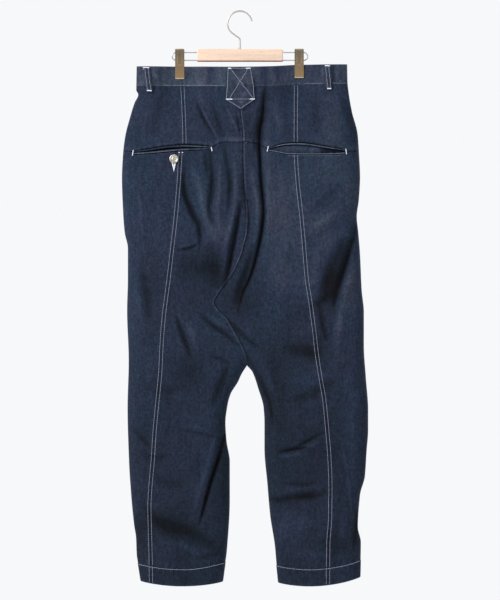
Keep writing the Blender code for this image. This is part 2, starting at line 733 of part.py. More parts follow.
def wire(name, points, radius, finish, collection, cyclic=False, resolution=2):
    """A round wire through points that are close enough together to look curved."""
    curve = bpy.data.curves.new(name, "CURVE")
    curve.dimensions = "3D"
    curve.bevel_depth = radius
    curve.bevel_resolution = resolution
    curve.use_fill_caps = not cyclic
    spline = curve.splines.new("POLY")
    spline.points.add(len(points) - 1)
    for spot, point in zip(spline.points, points):
        spot.co = (*point, 1.0)
    spline.use_cyclic_u = cyclic
    return keep(name, curve, finish, collection)


def buttonhole(finish, collection):
    """The thread-bound lips of a keyhole buttonhole, whose tail tapers away below the button."""
    around, down = 9, 4
    outline = []
    for k in range(around + 1):
        angle = math.radians(mix(-55, 235, k / around))
        outline.append((BUTTONHOLE_EYE * math.cos(angle), BUTTONHOLE_EYE * math.sin(angle)))
    foot_x, foot_y = outline[-1]
    for k in range(1, down):
        outline.append((foot_x * (1 - k / down), mix(foot_y, -BUTTONHOLE_TAIL, k / down)))
    outline.append((0.0, -BUTTONHOLE_TAIL))
    for k in range(down - 1, 0, -1):
        outline.append((-foot_x * (1 - k / down), mix(foot_y, -BUTTONHOLE_TAIL, k / down)))
    points = []
    for across, up in outline:
        place = cloth_at(BUTTON_X + across, BUTTON_DROP - up, BACK, LEFT)
        points.append(moved_out(place, SEAM_GAP + THREAD_RADIUS)[0])
    wire("buttonhole", points, THREAD_RADIUS, finish, collection, cyclic=True)


def arc(centre_x, centre_z, radius, start, end, steps):
    angles = [mix(start, end, k / steps) for k in range(steps + 1)]
    return [
        Vector((centre_x + radius * math.cos(a), 0.0, centre_z + radius * math.sin(a)))
        for a in angles
    ]


def hook(finish, collection):
    """The hanger's wire hook: a stem, a bend to one side, and most of a circle."""
    centre_z = HOOK_WIRE - HOOK_RADIUS
    circle = arc(0.0, centre_z, HOOK_RADIUS, HOOK_START_ANGLE, HOOK_END_ANGLE, 22)
    start = circle[0]
    stem_top = Vector((0.0, 0.0, start.z - 0.0095))
    elbow = Vector((0.0, 0.0, start.z - 0.0035))
    bend = []
    for k in range(7):
        t = k / 6
        point = stem_top * (1 - t) ** 2 + elbow * 2 * t * (1 - t) + start * t * t
        bend.append(point)
    foot = Vector((0.0, 0.0, BAR_TOP_Z - SOCKET_DEPTH + SEAM_GAP))
    wire("hanger_hook", [foot, *bend, *circle[1:]], HOOK_WIRE, finish, collection, resolution=2)


def drill(target, name, radius, point, axis, cutters):
    """Cuts a round hole of this radius about a point in the target."""
    bpy.ops.mesh.primitive_cylinder_add(vertices=16, radius=radius, depth=2 * SOCKET_DEPTH)
    cutter = bpy.context.object
    cutter.name = name
    face_along(cutter, point, axis)
    for collection in list(cutter.users_collection):
        collection.objects.unlink(cutter)
    cutters.objects.link(cutter)
    cutter.hide_render = True
    cutter.display_type = "WIRE"
    cut = target.modifiers.new(name, "BOOLEAN")
    cut.operation = "DIFFERENCE"
    cut.solver = "EXACT"
    cut.object = cutter


def hanger_bar(finish, collection, cutters):
    bpy.ops.mesh.primitive_cube_add(size=1.0)
    bar = bpy.context.object
    bar.name = "hanger_bar"
    bar.data.transform(Matrix.Diagonal((BAR_WIDTH, BAR_THICKNESS, BAR_HEIGHT, 1.0)))
    bar.location = (0.0, 0.0, BAR_TOP_Z - BAR_HEIGHT / 2)
    for owner in list(bar.users_collection):
        owner.objects.unlink(bar)
    collection.objects.link(bar)
    bar.data.materials.append(finish)
    rounded = bar.modifiers.new("rounded edges", "BEVEL")
    rounded.width = 0.0015
    rounded.segments = 2
    top = Vector((0.0, 0.0, BAR_TOP_Z))
    drill(bar, "hook_socket", HOOK_WIRE + SEAM_GAP, top, Vector((0, 0, 1)), cutters)
    for side in (-1, 1):
        for level, z in (("upper", RAIL_UPPER_Z), ("lower", RAIL_LOWER_Z)):
            end = Vector((side * BAR_WIDTH / 2, 0.0, z))
            name = f"rail_socket_{level}_{'left' if side < 0 else 'right'}"
            drill(bar, name, RAIL_WIRE + SEAM_GAP, end, Vector((side, 0, 0)), cutters)


def rail(name, side, finish, collection):
    """The U of wire that a clip rides on, with both ends in the bar."""
    inner_x = BAR_WIDTH / 2 - SOCKET_DEPTH + SEAM_GAP
    radius = (RAIL_UPPER_Z - RAIL_LOWER_Z) / 2
    centre_z = (RAIL_UPPER_Z + RAIL_LOWER_Z) / 2
    turn = arc(RAIL_OUTER_X - radius, centre_z, radius, math.pi / 2, -math.pi / 2, 8)
    path = [
        Vector((inner_x, 0.0, RAIL_UPPER_Z)), *turn, Vector((inner_x, 0.0, RAIL_LOWER_Z))
    ]
    points = [Vector((side * point.x, point.y, point.z)) for point in path]
    wire(name, points, RAIL_WIRE, finish, collection)


def jaw(name, clip_x, face, finish, collection):
    """One bent plate of a clip: flared at the top, flat on the waistband at its foot."""
    band = CLIP_PINCH_DEPTH + SEAM_GAP / 2 + WAISTBAND_PROUD
    grip = band + SEAM_GAP
    belly = SPRING_RADIUS + SEAM_GAP
    inside = (
        (belly + 0.0020, JAW_TOP_Z), (belly, RAIL_LOWER_Z + 0.0060),
        (belly, RAIL_LOWER_Z - 0.0040), (grip, WAIST_TOP_Z - 0.0025), (grip, JAW_FOOT_Z),
    )
    outline = [*inside, *((y + JAW_THICKNESS, z) for y, z in reversed(inside))]
    curve = bpy.data.curves.new(name, "CURVE")
    curve.dimensions = "2D"
    curve.fill_mode = "BOTH"
    curve.extrude = CLIP_WIDTH / 2
    spline = curve.splines.new("POLY")
    spline.points.add(len(outline) - 1)
    for spot, (y, z) in zip(spline.points, outline):
        spot.co = (face * y, z, 0.0, 1.0)
    spline.use_cyclic_u = True
    made = keep(name, curve, finish, collection)
    upright = Matrix(((0, 0, 1, clip_x), (1, 0, 0, 0), (0, 1, 0, 0), (0, 0, 0, 1)))
    made.matrix_world = upright


def spring(name, clip_x, finish, collection):
    """The coil between a clip's jaws, as a sleeve round the lower wire of the rail."""
    half = SPRING_WIDTH / 2
    profile = (
        (SPRING_BORE, half), (SPRING_BORE, -half), (SPRING_RADIUS, -half),
        (SPRING_RADIUS, half), (SPRING_BORE, half),
    )
    made = turned(name, profile, 16, finish, collection)
    made.modifiers["turn"].use_normal_flip = True
    face_along(made, Vector((clip_x, 0.0, RAIL_LOWER_Z)), Vector((1, 0, 0)))


def main():
    for old in list(bpy.data.objects):
        bpy.data.objects.remove(old)
    jeans = bpy.data.collections.new("jeans_on_hanger")
    cutters = bpy.data.collections.new("cutters")
    bpy.context.scene.collection.children.link(jeans)
    bpy.context.scene.collection.children.link(cutters)

    denim = material("indigo_denim", (0.022, 0.032, 0.058), 0.85)
    thread = material("white_thread", (0.62, 0.64, 0.66), 0.7)
    silver = material("button_metal", (0.74, 0.73, 0.64), 0.3, 1.0)
    beech = material("pale_wood", (0.86, 0.66, 0.48), 0.55)
    steel = material("bright_wire", (0.62, 0.61, 0.60), 0.3, 1.0)
    bronze = material("clip_metal", (0.30, 0.23, 0.15), 0.35, 1.0)

    waistbands(denim, jeans)
    yokes(denim, jeans)
    back_panels(denim, jeans)
    front_panels(denim, jeans)
    hems(denim, jeans)
    pocket_pieces(denim, jeans)
    belt_loops(denim, jeans)
    centre_loop(denim, jeans)
    fly(denim, jeans)
    button("pocket_button", cloth_at(BUTTON_X, BUTTON_DROP, BACK, LEFT), silver, jeans)
    band_place = cloth_at(WAIST_BUTTON_X, WAIST_BUTTON_DROP, FRONT, LEFT)
    button("waist_button", moved_out(band_place, WAISTBAND_PROUD), silver, jeans)
    buttonhole(thread, jeans)

    hook(steel, jeans)
    hanger_bar(beech, jeans, cutters)
    for side, clip_x in zip((LEFT, RIGHT), CLIP_X):
        rail(f"rail_{side}", -1 if side == LEFT else 1, steel, jeans)
        jaw(f"clip_{side}_back_jaw", clip_x, BACK, bronze, jeans)
        jaw(f"clip_{side}_front_jaw", clip_x, FRONT, bronze, jeans)
        spring(f"clip_{side}_spring", clip_x, steel, jeans)


main()
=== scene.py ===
"""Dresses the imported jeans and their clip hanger: indigo denim, pale topstitching, wood and metal.

Laid out as a Blender add-on and run as a script. Metres, +Z up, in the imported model's frame.
Heights on the cloth are drops below the waistband's top edge. The jeans' back faces -Y.
"""

import functools
import math
from collections import namedtuple

import bpy
import numpy as np
from bpy.props import FloatProperty, FloatVectorProperty, PointerProperty
from mathutils import Matrix, Vector


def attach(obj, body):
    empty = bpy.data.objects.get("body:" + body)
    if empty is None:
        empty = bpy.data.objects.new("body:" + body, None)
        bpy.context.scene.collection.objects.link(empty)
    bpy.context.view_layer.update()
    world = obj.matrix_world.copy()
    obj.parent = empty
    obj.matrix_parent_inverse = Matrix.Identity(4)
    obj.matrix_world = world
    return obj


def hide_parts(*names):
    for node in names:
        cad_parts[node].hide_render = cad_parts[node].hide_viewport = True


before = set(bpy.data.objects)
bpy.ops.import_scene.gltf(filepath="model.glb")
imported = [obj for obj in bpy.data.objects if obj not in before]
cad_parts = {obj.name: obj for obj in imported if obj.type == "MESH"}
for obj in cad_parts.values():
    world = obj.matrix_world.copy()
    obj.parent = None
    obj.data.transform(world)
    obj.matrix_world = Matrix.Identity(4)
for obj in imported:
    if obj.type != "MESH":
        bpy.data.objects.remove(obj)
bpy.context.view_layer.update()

bl_info = {
    "name": "Hanging Jeans",
    "version": (1, 0, 0),
    "blender": (4, 5, 0),
    "location": "View3D > Sidebar > Jeans",
    "description": "Dresses a pair of denim jeans that hang from a clip hanger",
    "category": "Object",
}

MM = 0.001

# Driving dimensions of the garment, as the solids have them
WAIST_TOP_Z = -0.1035
WAISTBAND_HEIGHT = 0.038
YOKE_DROP = 0.160
CROTCH_X, CROTCH_DROP = 0.0134, 0.5745
HEM_HEIGHT = 0.0335
HEM_ROW_DROP = 0.958
DENIM = 0.0013
WAISTBAND_CLOTH = 0.0026
HEM_CLOTH = 0.0024
WAISTBAND_PROUD = 0.0008
EDGE_ROUNDNESS = 0.6
SEAM_GAP = 0.00006
LEAST_SHEET = 0.0101

# Relief of a seam: its allowances stand up on both sides, and the line itself sinks
ALLOWANCE_RISE, ALLOWANCE_REACH = 0.0006, 0.0058
GROOVE_WIDTH = 0.0011
PUCKER_LENGTH, PUCKER_REACH = 0.0125, 0.0095
SEAT_SEAM_FADE = 0.05

# Creases: how far they reach in widths, how much their height wanders and over what length
CREASE_REACH, CREASE_WANDER, CREASE_WANDER_LENGTH = 3.2, 0.22, 0.034

CLIP_X = (-0.1155, 0.1135)
CLIP_WIDTH = 0.0176
CLIP_PINCH_DEPTH = 0.0018
PINCH_REACH = 0.026
PINCH_FULL_DROP, PINCH_END_DROP = 0.030, 0.120

BACK, FRONT = -1, 1
LEFT, RIGHT = "left", "right"
DOWN, ACROSS = "down", "across"


def smooth_path(places):
    """A cubic through pairs of key and value, as a function of the key. It never overshoots."""
    keys, values = np.asarray(places, float).T
    slopes = np.diff(values) / np.diff(keys)
    before, after = slopes[:-1], slopes[1:]
    agree = before * after > 0
    inner = np.where(agree, 2 * before * after / np.where(agree, before + after, 1.0), 0.0)
    tangents = np.concatenate([slopes[:1], inner, slopes[-1:]])

    def curve(at):
        at = np.clip(at, keys[0], keys[-1])
        i = np.clip(np.searchsorted(keys, at) - 1, 0, len(keys) - 2)
        span = keys[i + 1] - keys[i]
        t = (at - keys[i]) / span
        return (
            values[i] * (1 + 2 * t) * (1 - t) ** 2
            + tangents[i] * span * t * (1 - t) ** 2
            + values[i + 1] * t * t * (3 - 2 * t)
            + tangents[i + 1] * span * t * t * (t - 1)
        )

    return curve


# The outline as the viewer sees it: each place is a drop and the x of the edge or seam there
left_edge = smooth_path((
    (-0.01, -0.198), (0.029, -0.1987), (0.046, -0.199), (0.055, -0.195), (0.07, -0.2019),
    (0.097, -0.2104), (0.136, -0.2203), (0.166, -0.224), (0.215, -0.2264), (0.279, -0.2242),
    (0.318, -0.2213), (0.35, -0.215), (0.41, -0.215), (0.469, -0.2165), (0.566, -0.2134),
    (0.655, -0.2156), (0.76, -0.2127), (0.822, -0.2087), (0.878, -0.2033), (0.905, -0.1993),
    (0.936, -0.1981), (0.957, -0.195), (1.0, -0.188),
))
right_edge = smooth_path((
    (-0.01, 0.2055), (0.029, 0.2062), (0.053, 0.2087), (0.087, 0.2146), (0.131, 0.2257),
    (0.163, 0.228), (0.213, 0.2303), (0.256, 0.228), (0.289, 0.224), (0.32, 0.227),
    (0.362, 0.2303), (0.429, 0.2334), (0.472, 0.2376), (0.535, 0.2376), (0.597, 0.2414),
    (0.659, 0.2458), (0.697, 0.2458), (0.739, 0.2428), (0.787, 0.2395), (0.822, 0.2303),
    (0.884, 0.2261), (0.913, 0.2318), (0.948, 0.2313), (1.0, 0.23),
))
left_inside_leg = smooth_path((
    (CROTCH_DROP, CROTCH_X), (0.59, 0.0034), (0.606, -0.004), (0.629, -0.018), (0.65, -0.0238),
    (0.684, -0.0278), (0.717, -0.0259), (0.759, -0.0195), (0.832, -0.0195), (0.927, -0.0249),
    (0.957, -0.0287), (1.0, -0.0345),
))
right_inside_leg = smooth_path((
    (CROTCH_DROP, CROTCH_X), (0.586, 0.0235), (0.618, 0.0349), (0.655, 0.0452), (0.684, 0.0469),
    (0.733, 0.0469), (0.801, 0.0525), (0.86, 0.0577), (0.922, 0.0671), (0.957, 0.0701),
    (1.0, 0.0745),
))
centre_back = smooth_path((
    (0.0, 0.0015), (0.082, 0.0015), (0.136, 0.0065), (0.185, 0.007), (0.247, 0.0098),
    (0.272, 0.0116), (0.295, 0.0121), (0.322, 0.0102), (0.339, 0.0055), (0.36, 0.0),
    (0.379, -0.0076), (0.398, -0.0172), (0.416, -0.0304), (0.438, -0.046), (0.454, -0.0525),
    (0.468, -0.045), (0.4825, -0.0297), (0.519, -0.0082), (0.548, 0.006), (CROTCH_DROP, CROTCH_X),
))
centre_front = smooth_path((
    (0.0, 0.004), (0.2, 0.006), (0.4, 0.01), (CROTCH_DROP, CROTCH_X),
))
left_panel_seam = smooth_path((
    (0.03, -0.1107), (0.148, -0.1061), (0.166, -0.113), (0.222, -0.117), (0.28, -0.1217),
    (0.357, -0.1303), (0.406, -0.136), (0.478, -0.1452), (0.527, -0.1494), (0.586, -0.1523),
    (0.634, -0.1569), (0.697, -0.1629), (0.759, -0.1671), (0.812, -0.1717), (0.843, -0.1732),
    (0.885, -0.1724), (0.937, -0.1709), (1.0, -0.1698),
))
right_panel_seam = smooth_path((
    (0.03, 0.1075), (0.146, 0.1067), (0.174, 0.1071), (0.216, 0.1096), (0.289, 0.1174),
    (0.362, 0.1238), (0.407, 0.1276), (0.452, 0.1345), (0.504, 0.1414), (0.556, 0.1475),
    (0.597, 0.1539), (0.639, 0.1611), (0.703, 0.1673), (0.749, 0.1709), (0.801, 0.173),
    (0.864, 0.1724), (0.916, 0.169), (1.0, 0.1682),
))

# How far the cloth stands off the middle plane: the drop, then behind and in front
DEPTHS = (
    (-0.01, 0.01, 0.01), (0.04, 0.013, 0.013), (0.1, 0.021, 0.019), (0.16, 0.027, 0.024),
    (0.3, 0.032, 0.027), (0.45, 0.032, 0.028), (0.575, 0.03, 0.027), (0.7, 0.027, 0.025),
    (0.85, 0.024, 0.023), (1.0, 0.023, 0.022),
)
DEPTH_OF = {
    BACK: smooth_path([(drop, back) for drop, back, _ in DEPTHS]),
    FRONT: smooth_path([(drop, front) for drop, _, front in DEPTHS]),
}

# Where edges that run across lie: each place is an x and the drop there
waist_line = smooth_path((
    (-0.2, 0.0008), (-0.1, 0.0012), (0.0, 0.0018), (0.06, 0.0006), (0.114, -0.0023),
    (0.21, -0.003),
))
yoke_seam = smooth_path((
    (-0.23, 0.161), (-0.205, 0.1645), (-0.11, 0.1545), (-0.053, 0.1555), (-0.042, 0.1495),
    (-0.032, 0.1467), (0.014, 0.1467), (0.034, 0.15), (0.053, 0.158), (0.204, 0.164),
    (0.232, 0.162),
))

# Welt pockets: x of both ends, then the lines across each. The yoke ends at the ditch above the
# upper welt and the panel starts at the ditch below the lower one. The mouth is between the lips.
Pocket = namedtuple("Pocket", "side start end upper_ditch upper_lip lower_lip lower_ditch")
POCKETS = (
    Pocket(
        LEFT, -0.2055, -0.054,
        ((-0.206, 0.1642), (-0.1724, 0.1592), (-0.1475, 0.1552), (-0.1322, 0.1533),
         (-0.1104, 0.1512), (-0.0799, 0.1527), (-0.0535, 0.1544)),
        ((-0.206, 0.166), (-0.1776, 0.1632), (-0.1519, 0.1593), (-0.1349, 0.1572),
         (-0.0981, 0.1564), (-0.0535, 0.1574)),
        ((-0.206, 0.1674), (-0.1776, 0.1655), (-0.1519, 0.1632), (-0.1349, 0.1614),
         (-0.0981, 0.159), (-0.0535, 0.1586)),
        ((-0.206, 0.1712), (-0.1715, 0.1692), (-0.1422, 0.1669), (-0.1104, 0.164),
         (-0.0766, 0.1625), (-0.0535, 0.1612)),
    ),
    Pocket(
        RIGHT, 0.0533, 0.2043,
        ((0.052, 0.1582), (0.0586, 0.1562), (0.0786, 0.1512), (0.1021, 0.1482), (0.1169, 0.148),
         (0.1387, 0.1506), (0.1753, 0.1567), (0.206, 0.1612)),
        ((0.052, 0.1598), (0.0653, 0.1568), (0.0899, 0.1519), (0.1069, 0.1516), (0.1192, 0.1521),
         (0.1387, 0.154), (0.1632, 0.1578), (0.206, 0.1638)),
        ((0.052, 0.1604), (0.0776, 0.165), (0.0971, 0.1678), (0.1387, 0.1683), (0.1753, 0.1678),
         (0.206, 0.1656)),
        ((0.052, 0.1632), (0.0776, 0.168), (0.0971, 0.1706), (0.1387, 0.1711), (0.1753, 0.1706),
         (0.206, 0.1688)),
    ),
)
WELT_CLOTH, DITCH = 0.0011, 0.0008

# The hems' lower edge: its drop at the ends and the middle, and how much wider the band gets
Hem = namedtuple("Hem", "left_end middle right_end rise")
HEMS = {LEFT: Hem(0.9875, 0.9965, 0.9885, 0.0036), RIGHT: Hem(0.9905, 0.9960, 0.9800, 0.0)}
LEG_SIDES = {LEFT: (left_edge, left_inside_leg), RIGHT: (right_inside_leg, right_edge)}

# Creases in millimetres: the places (x, drop) that each runs through, then how wide and how high.
# A trough has a negative height. One that leans is wider on its right, or lower, side.
Crease = namedtuple("Crease", "run path width height lean", defaults=(0.0,))
BACK_CREASES = [Crease(*row) for row in (
    # The deep fold beside the seat seam: a sharp line with a slow fall on its left
    (DOWN, ((47, 40), (45, 65), (43, 94), (38, 123), (37, 161), (38, 190), (39.5, 218),
        (42.5, 250), (44.5, 276), (42.5, 301), (39.5, 324), (35, 347), (31.5, 364), (27, 383),
        (21, 402), (15, 416), (6, 436), (-6, 486)), 3.8, -10.5, 0.35),
    (DOWN, ((51, 34), (48, 65), (44, 94), (37, 130), (33, 175)), 8.5, -5.4),
    (DOWN, ((24, 180), (27, 218), (32, 247), (35, 276), (34, 301), (30, 330),
        (22, 364)), 5.5, 2.9, -0.3),
    (DOWN, ((28, 338), (21, 370), (13, 395), (2, 425), (-8, 465)), 8, -5),
    (DOWN, ((61, 60), (56, 100), (54, 150), (55, 230), (58, 290), (52, 340), (42, 385)), 8, 1.8),
    (DOWN, ((6, 175), (7, 230), (12, 268), (17, 305), (16, 340)), 4.2, -2.4),
    # The hollow on the left of the seat seam, where it turns to the inside leg
    (DOWN, ((3.5, 258), (0.5, 276), (-4.8, 305), (-9.8, 335), (-15.5, 366), (-21, 395),
        (-30, 430)), 5, -9.5, -0.5),
    (DOWN, ((-13, 285), (-19, 320), (-28, 352)), 6, 3),
    (DOWN, ((-56, 336), (-48, 375), (-42, 430)), 20, -3.4),
    (DOWN, ((-25, 345), (-27, 372), (-34, 405)), 5, 1.6),
    # Soft pulls from the left pocket's end towards the crotch
    (DOWN, ((-104, 188), (-107, 215), (-106, 238), (-98, 264), (-86, 290), (-77, 310),
        (-75, 335), (-78, 356)), 5.4, -6.8),
    (DOWN, ((-92, 190), (-76, 235), (-64, 290), (-52, 320), (-36, 345)), 7.5, 3.2),
    (DOWN, ((-57, 150), (-54, 190), (-52, 218), (-54, 247), (-58, 274), (-50, 306)), 5.5, -4.9),
    (DOWN, ((-38, 176), (-38, 230), (-42, 275), (-37, 320)), 5, 2.8),
    (DOWN, ((-30, 148), (-22, 195), (-18, 225), (-19, 255), (-26, 296)), 5, -4.2),
    (DOWN, ((-12, 165), (-7, 218), (-7, 250), (-12, 285), (-20, 325)), 4.8, 3.2),
    (DOWN, ((-65, 155), (-63, 190), (-60, 222)), 5, -3),
    # Below the centre loop: two sharp pulls to the left pocket, and a soft one to the seat seam
    (DOWN, ((-86, 62), (-75, 88), (-66, 106), (-55, 124), (-42, 144)), 3.4, -4.2),
    (DOWN, ((-74, 78), (-62, 104), (-50, 125), (-38, 152)), 2.6, 3.6),
    (DOWN, ((-50, 66), (-46, 90), (-40, 112), (-30, 140)), 4.5, -2.6),
    (DOWN, ((-26, 74), (-18, 94), (-9, 114), (0, 134)), 2.8, 2.8),
    (DOWN, ((-80, 46), (-72, 66), (-62, 84)), 5, 2),
    (DOWN, ((-10, 84), (-5, 96), (-1, 118), (1, 136)), 2.8, -2.8),
    # Right yoke and its side
    (DOWN, ((146, 45), (147, 90), (150, 135)), 11, -2.4),
    (DOWN, ((190, 50), (204, 85), (218, 125), (221, 150)), 7, -2.2),
    (DOWN, ((70, 60), (74, 100), (78, 140)), 9, 1.8),
    (DOWN, ((-150, 50), (-156, 95), (-166, 140)), 9, -1.8),
    # The pocket bags' edges, pressed through from inside
    (ACROSS, ((-122, 354), (-104, 351), (-90, 347), (-74, 337)), 2.4, -4, 0.5),
    (ACROSS, ((-122, 348), (-104, 345), (-88, 340)), 3, 1.2),
    (DOWN, ((-190, 200), (-189, 280), (-182, 345)), 3, 0.8),
    (DOWN, ((66, 175), (67, 260), (72, 335)), 3, 0.7),
    # The right hip's slow slants and the hollow below them
    (ACROSS, ((128, 288), (150, 270), (172, 252), (198, 230)), 9, -1.9),
    (ACROSS, ((128, 338), (152, 326), (176, 312), (204, 292)), 9, -1.6),
    (ACROSS, ((134, 312), (160, 298), (190, 276)), 7, 1.8),
    (DOWN, ((224, 290), (218, 325), (210, 356), (197, 400), (185, 438),
        (178, 466)), 6, -9.5, -0.35),
    (DOWN, ((202, 325), (188, 366), (172, 408), (156, 456)), 14, -5.5),
    (ACROSS, ((126, 468), (146, 459), (163, 449), (186, 430)), 8, -3.6),
    (DOWN, ((151, 450), (157, 480), (167, 530)), 6, -3.6),
    (DOWN, ((224, 365), (213, 405), (200, 445), (190, 500), (186, 560)), 9, 3.6),
    (DOWN, ((100, 330), (96, 400), (92, 470)), 13, -1.3),
    # Thighs
    (DOWN, ((-122, 476), (-113, 503), (-101, 535), (-92, 562)), 5, -4.8),
    (DOWN, ((-104, 478), (-92, 510), (-82, 548)), 7, 2.2),
    (DOWN, ((-80, 470), (-64, 487), (-46, 501), (-20, 520), (8, 546)), 4.6, -4.4),
    (DOWN, ((-24, 482), (-8, 500), (12, 521), (38, 542)), 4.4, -4.2),
    (DOWN, ((-60, 474), (-42, 490), (-18, 508)), 5, 2),
    (DOWN, ((-203, 405), (-194, 450), (-180, 510)), 7, 1.4),
    (DOWN, ((-186, 380), (-178, 440), (-170, 500)), 8, -2.2),
    (ACROSS, ((84, 541), (120, 546), (160, 553)), 12, -3.6),
    (ACROSS, ((60, 590), (110, 600), (170, 588)), 12, 0.9),
    # Crotch to knee
    (DOWN, ((-20, 572), (-34, 606), (-52, 655)), 7, -3.4),
    (DOWN, ((18, 560), (30, 584), (45, 616), (58, 650), (64, 690)), 5, -4.6),
    (DOWN, ((40, 560), (54, 596), (72, 640)), 6, 2.4),
    (ACROSS, ((-60, 556), (-36, 562), (-12, 572)), 4, -2.6),
    (ACROSS, ((-190, 612), (-150, 622), (-100, 616)), 10, -1.8),
    (ACROSS, ((100, 640), (140, 628), (190, 600)), 10, -2.6),
    # Behind the knees
    (DOWN, ((-21, 684), (-30, 708), (-38, 735), (-50.5, 774), (-62, 813), (-73, 858),
        (-79, 882)), 3.4, -11, 0.6),
    (DOWN, ((-44, 700), (-60, 764), (-78, 822), (-90, 868)), 6, 3),
    (ACROSS, ((-118, 698), (-92, 701), (-60, 708), (-30, 716)), 3.4, -2.2),
    (ACROSS, ((-112, 690), (-88, 692), (-60, 698)), 4, 1.2),
    (ACROSS, ((108, 730), (122, 723), (138, 714), (164, 700)), 3, -4.2),
    (ACROSS, ((108, 742), (132, 731), (158, 718)), 4.2, 2.2),
    (ACROSS, ((70, 741), (90, 737), (112, 733), (138, 731)), 3.4, -4.4),
    (ACROSS, ((74, 749), (100, 746), (134, 742)), 4.6, 3.4),
    (ACROSS, ((48, 824), (73, 832), (96, 828), (121, 825), (146, 823), (174, 812)), 7, -4.6),
    (ACROSS, ((62, 812), (110, 812), (160, 800)), 6, 1),
    (ACROSS, ((84, 800), (120, 802), (154, 798)), 4, -2.2),
    (ACROSS, ((-212, 688), (-187, 713), (-164, 736)), 5, -2.6),
    (ACROSS, ((-190, 742), (-168, 752), (-132, 748)), 7, -2),
    (ACROSS, ((-170, 785), (-130, 800), (-96, 798)), 9, -1.8),
    # Shins and hems
    (ACROSS, ((-186, 846), (-152, 874), (-128, 886), (-100, 892), (-67, 908),
        (-34, 928)), 12.5, -4.6),
    (ACROSS, ((-116, 916), (-92, 926), (-66, 944)), 6.5, 1.8),
    (ACROSS, ((-86, 944), (-60, 940), (-34, 934)), 5, -1.8),
    (ACROSS, ((-165, 906), (-135, 914), (-100, 916)), 8, 1.2),
    (DOWN, ((224, 846), (222, 880), (218, 930)), 5, -4.6),
    (DOWN, ((193, 702), (208, 789), (219, 890)), 3.4, 1.8),
    (DOWN, ((206, 845), (198, 880), (196, 920)), 7, 1.8),
    (ACROSS, ((90, 892), (124, 898), (160, 888)), 10, -1.2),
    (ACROSS, ((96, 930), (134, 938), (170, 930)), 9, 1.4),
)]
FRONT_CREASES = [Crease(*row) for row in (
    (DOWN, ((-70, 100), (-62, 200), (-52, 300), (-54, 345)), 10, -6.5, 0.2),
    (DOWN, ((-52, 120), (-44, 220), (-34, 320)), 9, 3),
    (DOWN, ((44, 120), (40, 220), (32, 330), (22, 415)), 10.5, -7.5, -0.2),
    (DOWN, ((62, 140), (60, 240), (52, 350)), 10, 2.8),
    (DOWN, ((128, 320), (96, 400), (68, 470), (46, 530)), 11, -5.5),
    (DOWN, ((150, 330), (122, 410), (96, 480)), 10, 2.4),
    (DOWN, ((-138, 340), (-106, 420), (-72, 490), (-42, 540)), 11, -5.5),
    (DOWN, ((-160, 350), (-130, 430), (-98, 500)), 10, 2.2),
    (DOWN, ((14, 380), (13, 450), (13, 540)), 9, -3),
    (ACROSS, ((-196, 205), (-170, 216), (-130, 212)), 8, -1.8),
    (ACROSS, ((140, 240), (176, 252), (212, 244)), 8, -1.8),
    (ACROSS, ((-156, 615), (-110, 640), (-56, 650)), 13, -4.2),
    (ACROSS, ((-180, 660), (-140, 678), (-84, 682)), 9, 1.8),
    (ACROSS, ((86, 630), (136, 668), (196, 690)), 13, -4.2),
    (ACROSS, ((74, 690), (120, 716), (170, 722)), 8, 2),
    (ACROSS, ((-150, 705), (-104, 716), (-60, 706)), 5, -2.2),
    (ACROSS, ((84, 742), (128, 748), (176, 738)), 5.5, -2.4),
    (ACROSS, ((-176, 790), (-124, 826), (-62, 846)), 14, -4.2),
    (ACROSS, ((84, 826), (136, 852), (196, 866)), 14, -3.8),
    (ACROSS, ((-170, 882), (-130, 894), (-80, 886)), 8, 1.8),
    (ACROSS, ((100, 900), (150, 912), (200, 904)), 9, 1.6),
)]

# Broad patches on the back of painted light and shade, partly wear, in millimetres: middle, half
# width, half height, and how much paler
Area = namedtuple("Area", "x drop wide tall change")
BACK_LIGHT_AND_WEAR_AREAS = [Area(*row) for row in (
    # Paler over the right of the yoke, the seat, the right hip and its edge: partly rubbed, partly
    # painted light
    (175, 115, 30, 80, 0.14), (82, 280, 36, 90, 0.15), (-42, 322, 24, 24, 0.12),
    (155, 205, 46, 40, 0.12), (154, 306, 40, 56, 0.17), (92, 408, 26, 44, 0.17),
    (142, 400, 18, 30, 0.14), (212, 440, 16, 70, 0.12), (212, 700, 16, 110, 0.15),
    # Painted shade beside the deep fold, below the left pocket bag and in the right hip's hollow;
    # paler by the right edge
    (18, 130, 14, 60, -0.12), (10, 255, 13, 60, -0.12), (4, 446, 30, 38, -0.16),
    (-92, 384, 34, 30, -0.26), (-50, 390, 24, 32, -0.12), (-70, 446, 70, 40, -0.12),
    (-165, 405, 36, 55, -0.10), (176, 426, 20, 40, -0.34), (214, 245, 14, 50, 0.12),
    # The thighs and knees: the left one paler inside, the right one darker
    (-64, 680, 28, 70, 0.13), (-99, 582, 20, 34, -0.18), (70, 600, 30, 100, -0.14),
    (140, 540, 26, 34, -0.18), (118, 474, 22, 26, -0.10), (104, 750, 60, 80, -0.08),
    # The shins: bands of painted shade, and paler below them
    (-142, 878, 54, 26, -0.16), (-196, 900, 22, 50, -0.12), (-36, 800, 22, 100, -0.10),
    (-60, 930, 40, 26, -0.06), (104, 884, 36, 26, 0.17), (182, 914, 24, 24, -0.18),
)]

# Belt loops: x at the top and the bottom, and the side of the jeans they are on
BeltLoop = namedtuple("BeltLoop", "name top_x bottom_x face")
BELT_LOOPS = (
    BeltLoop("belt_loop_back_left", -0.1790, -0.1730, BACK),
    BeltLoop("belt_loop_back_right", 0.1673, 0.1713, BACK),
    BeltLoop("belt_loop_front_left", -0.0700, -0.0690, FRONT),
    BeltLoop("belt_loop_front_right", 0.0740, 0.0730, FRONT),
)
LOOP_WIDTH, LOOP_CLOTH, LOOP_BOW = 0.0108, 0.0016, 0.0028
LOOP_START_DROP, LOOP_END_DROP = 0.0010, 0.0500

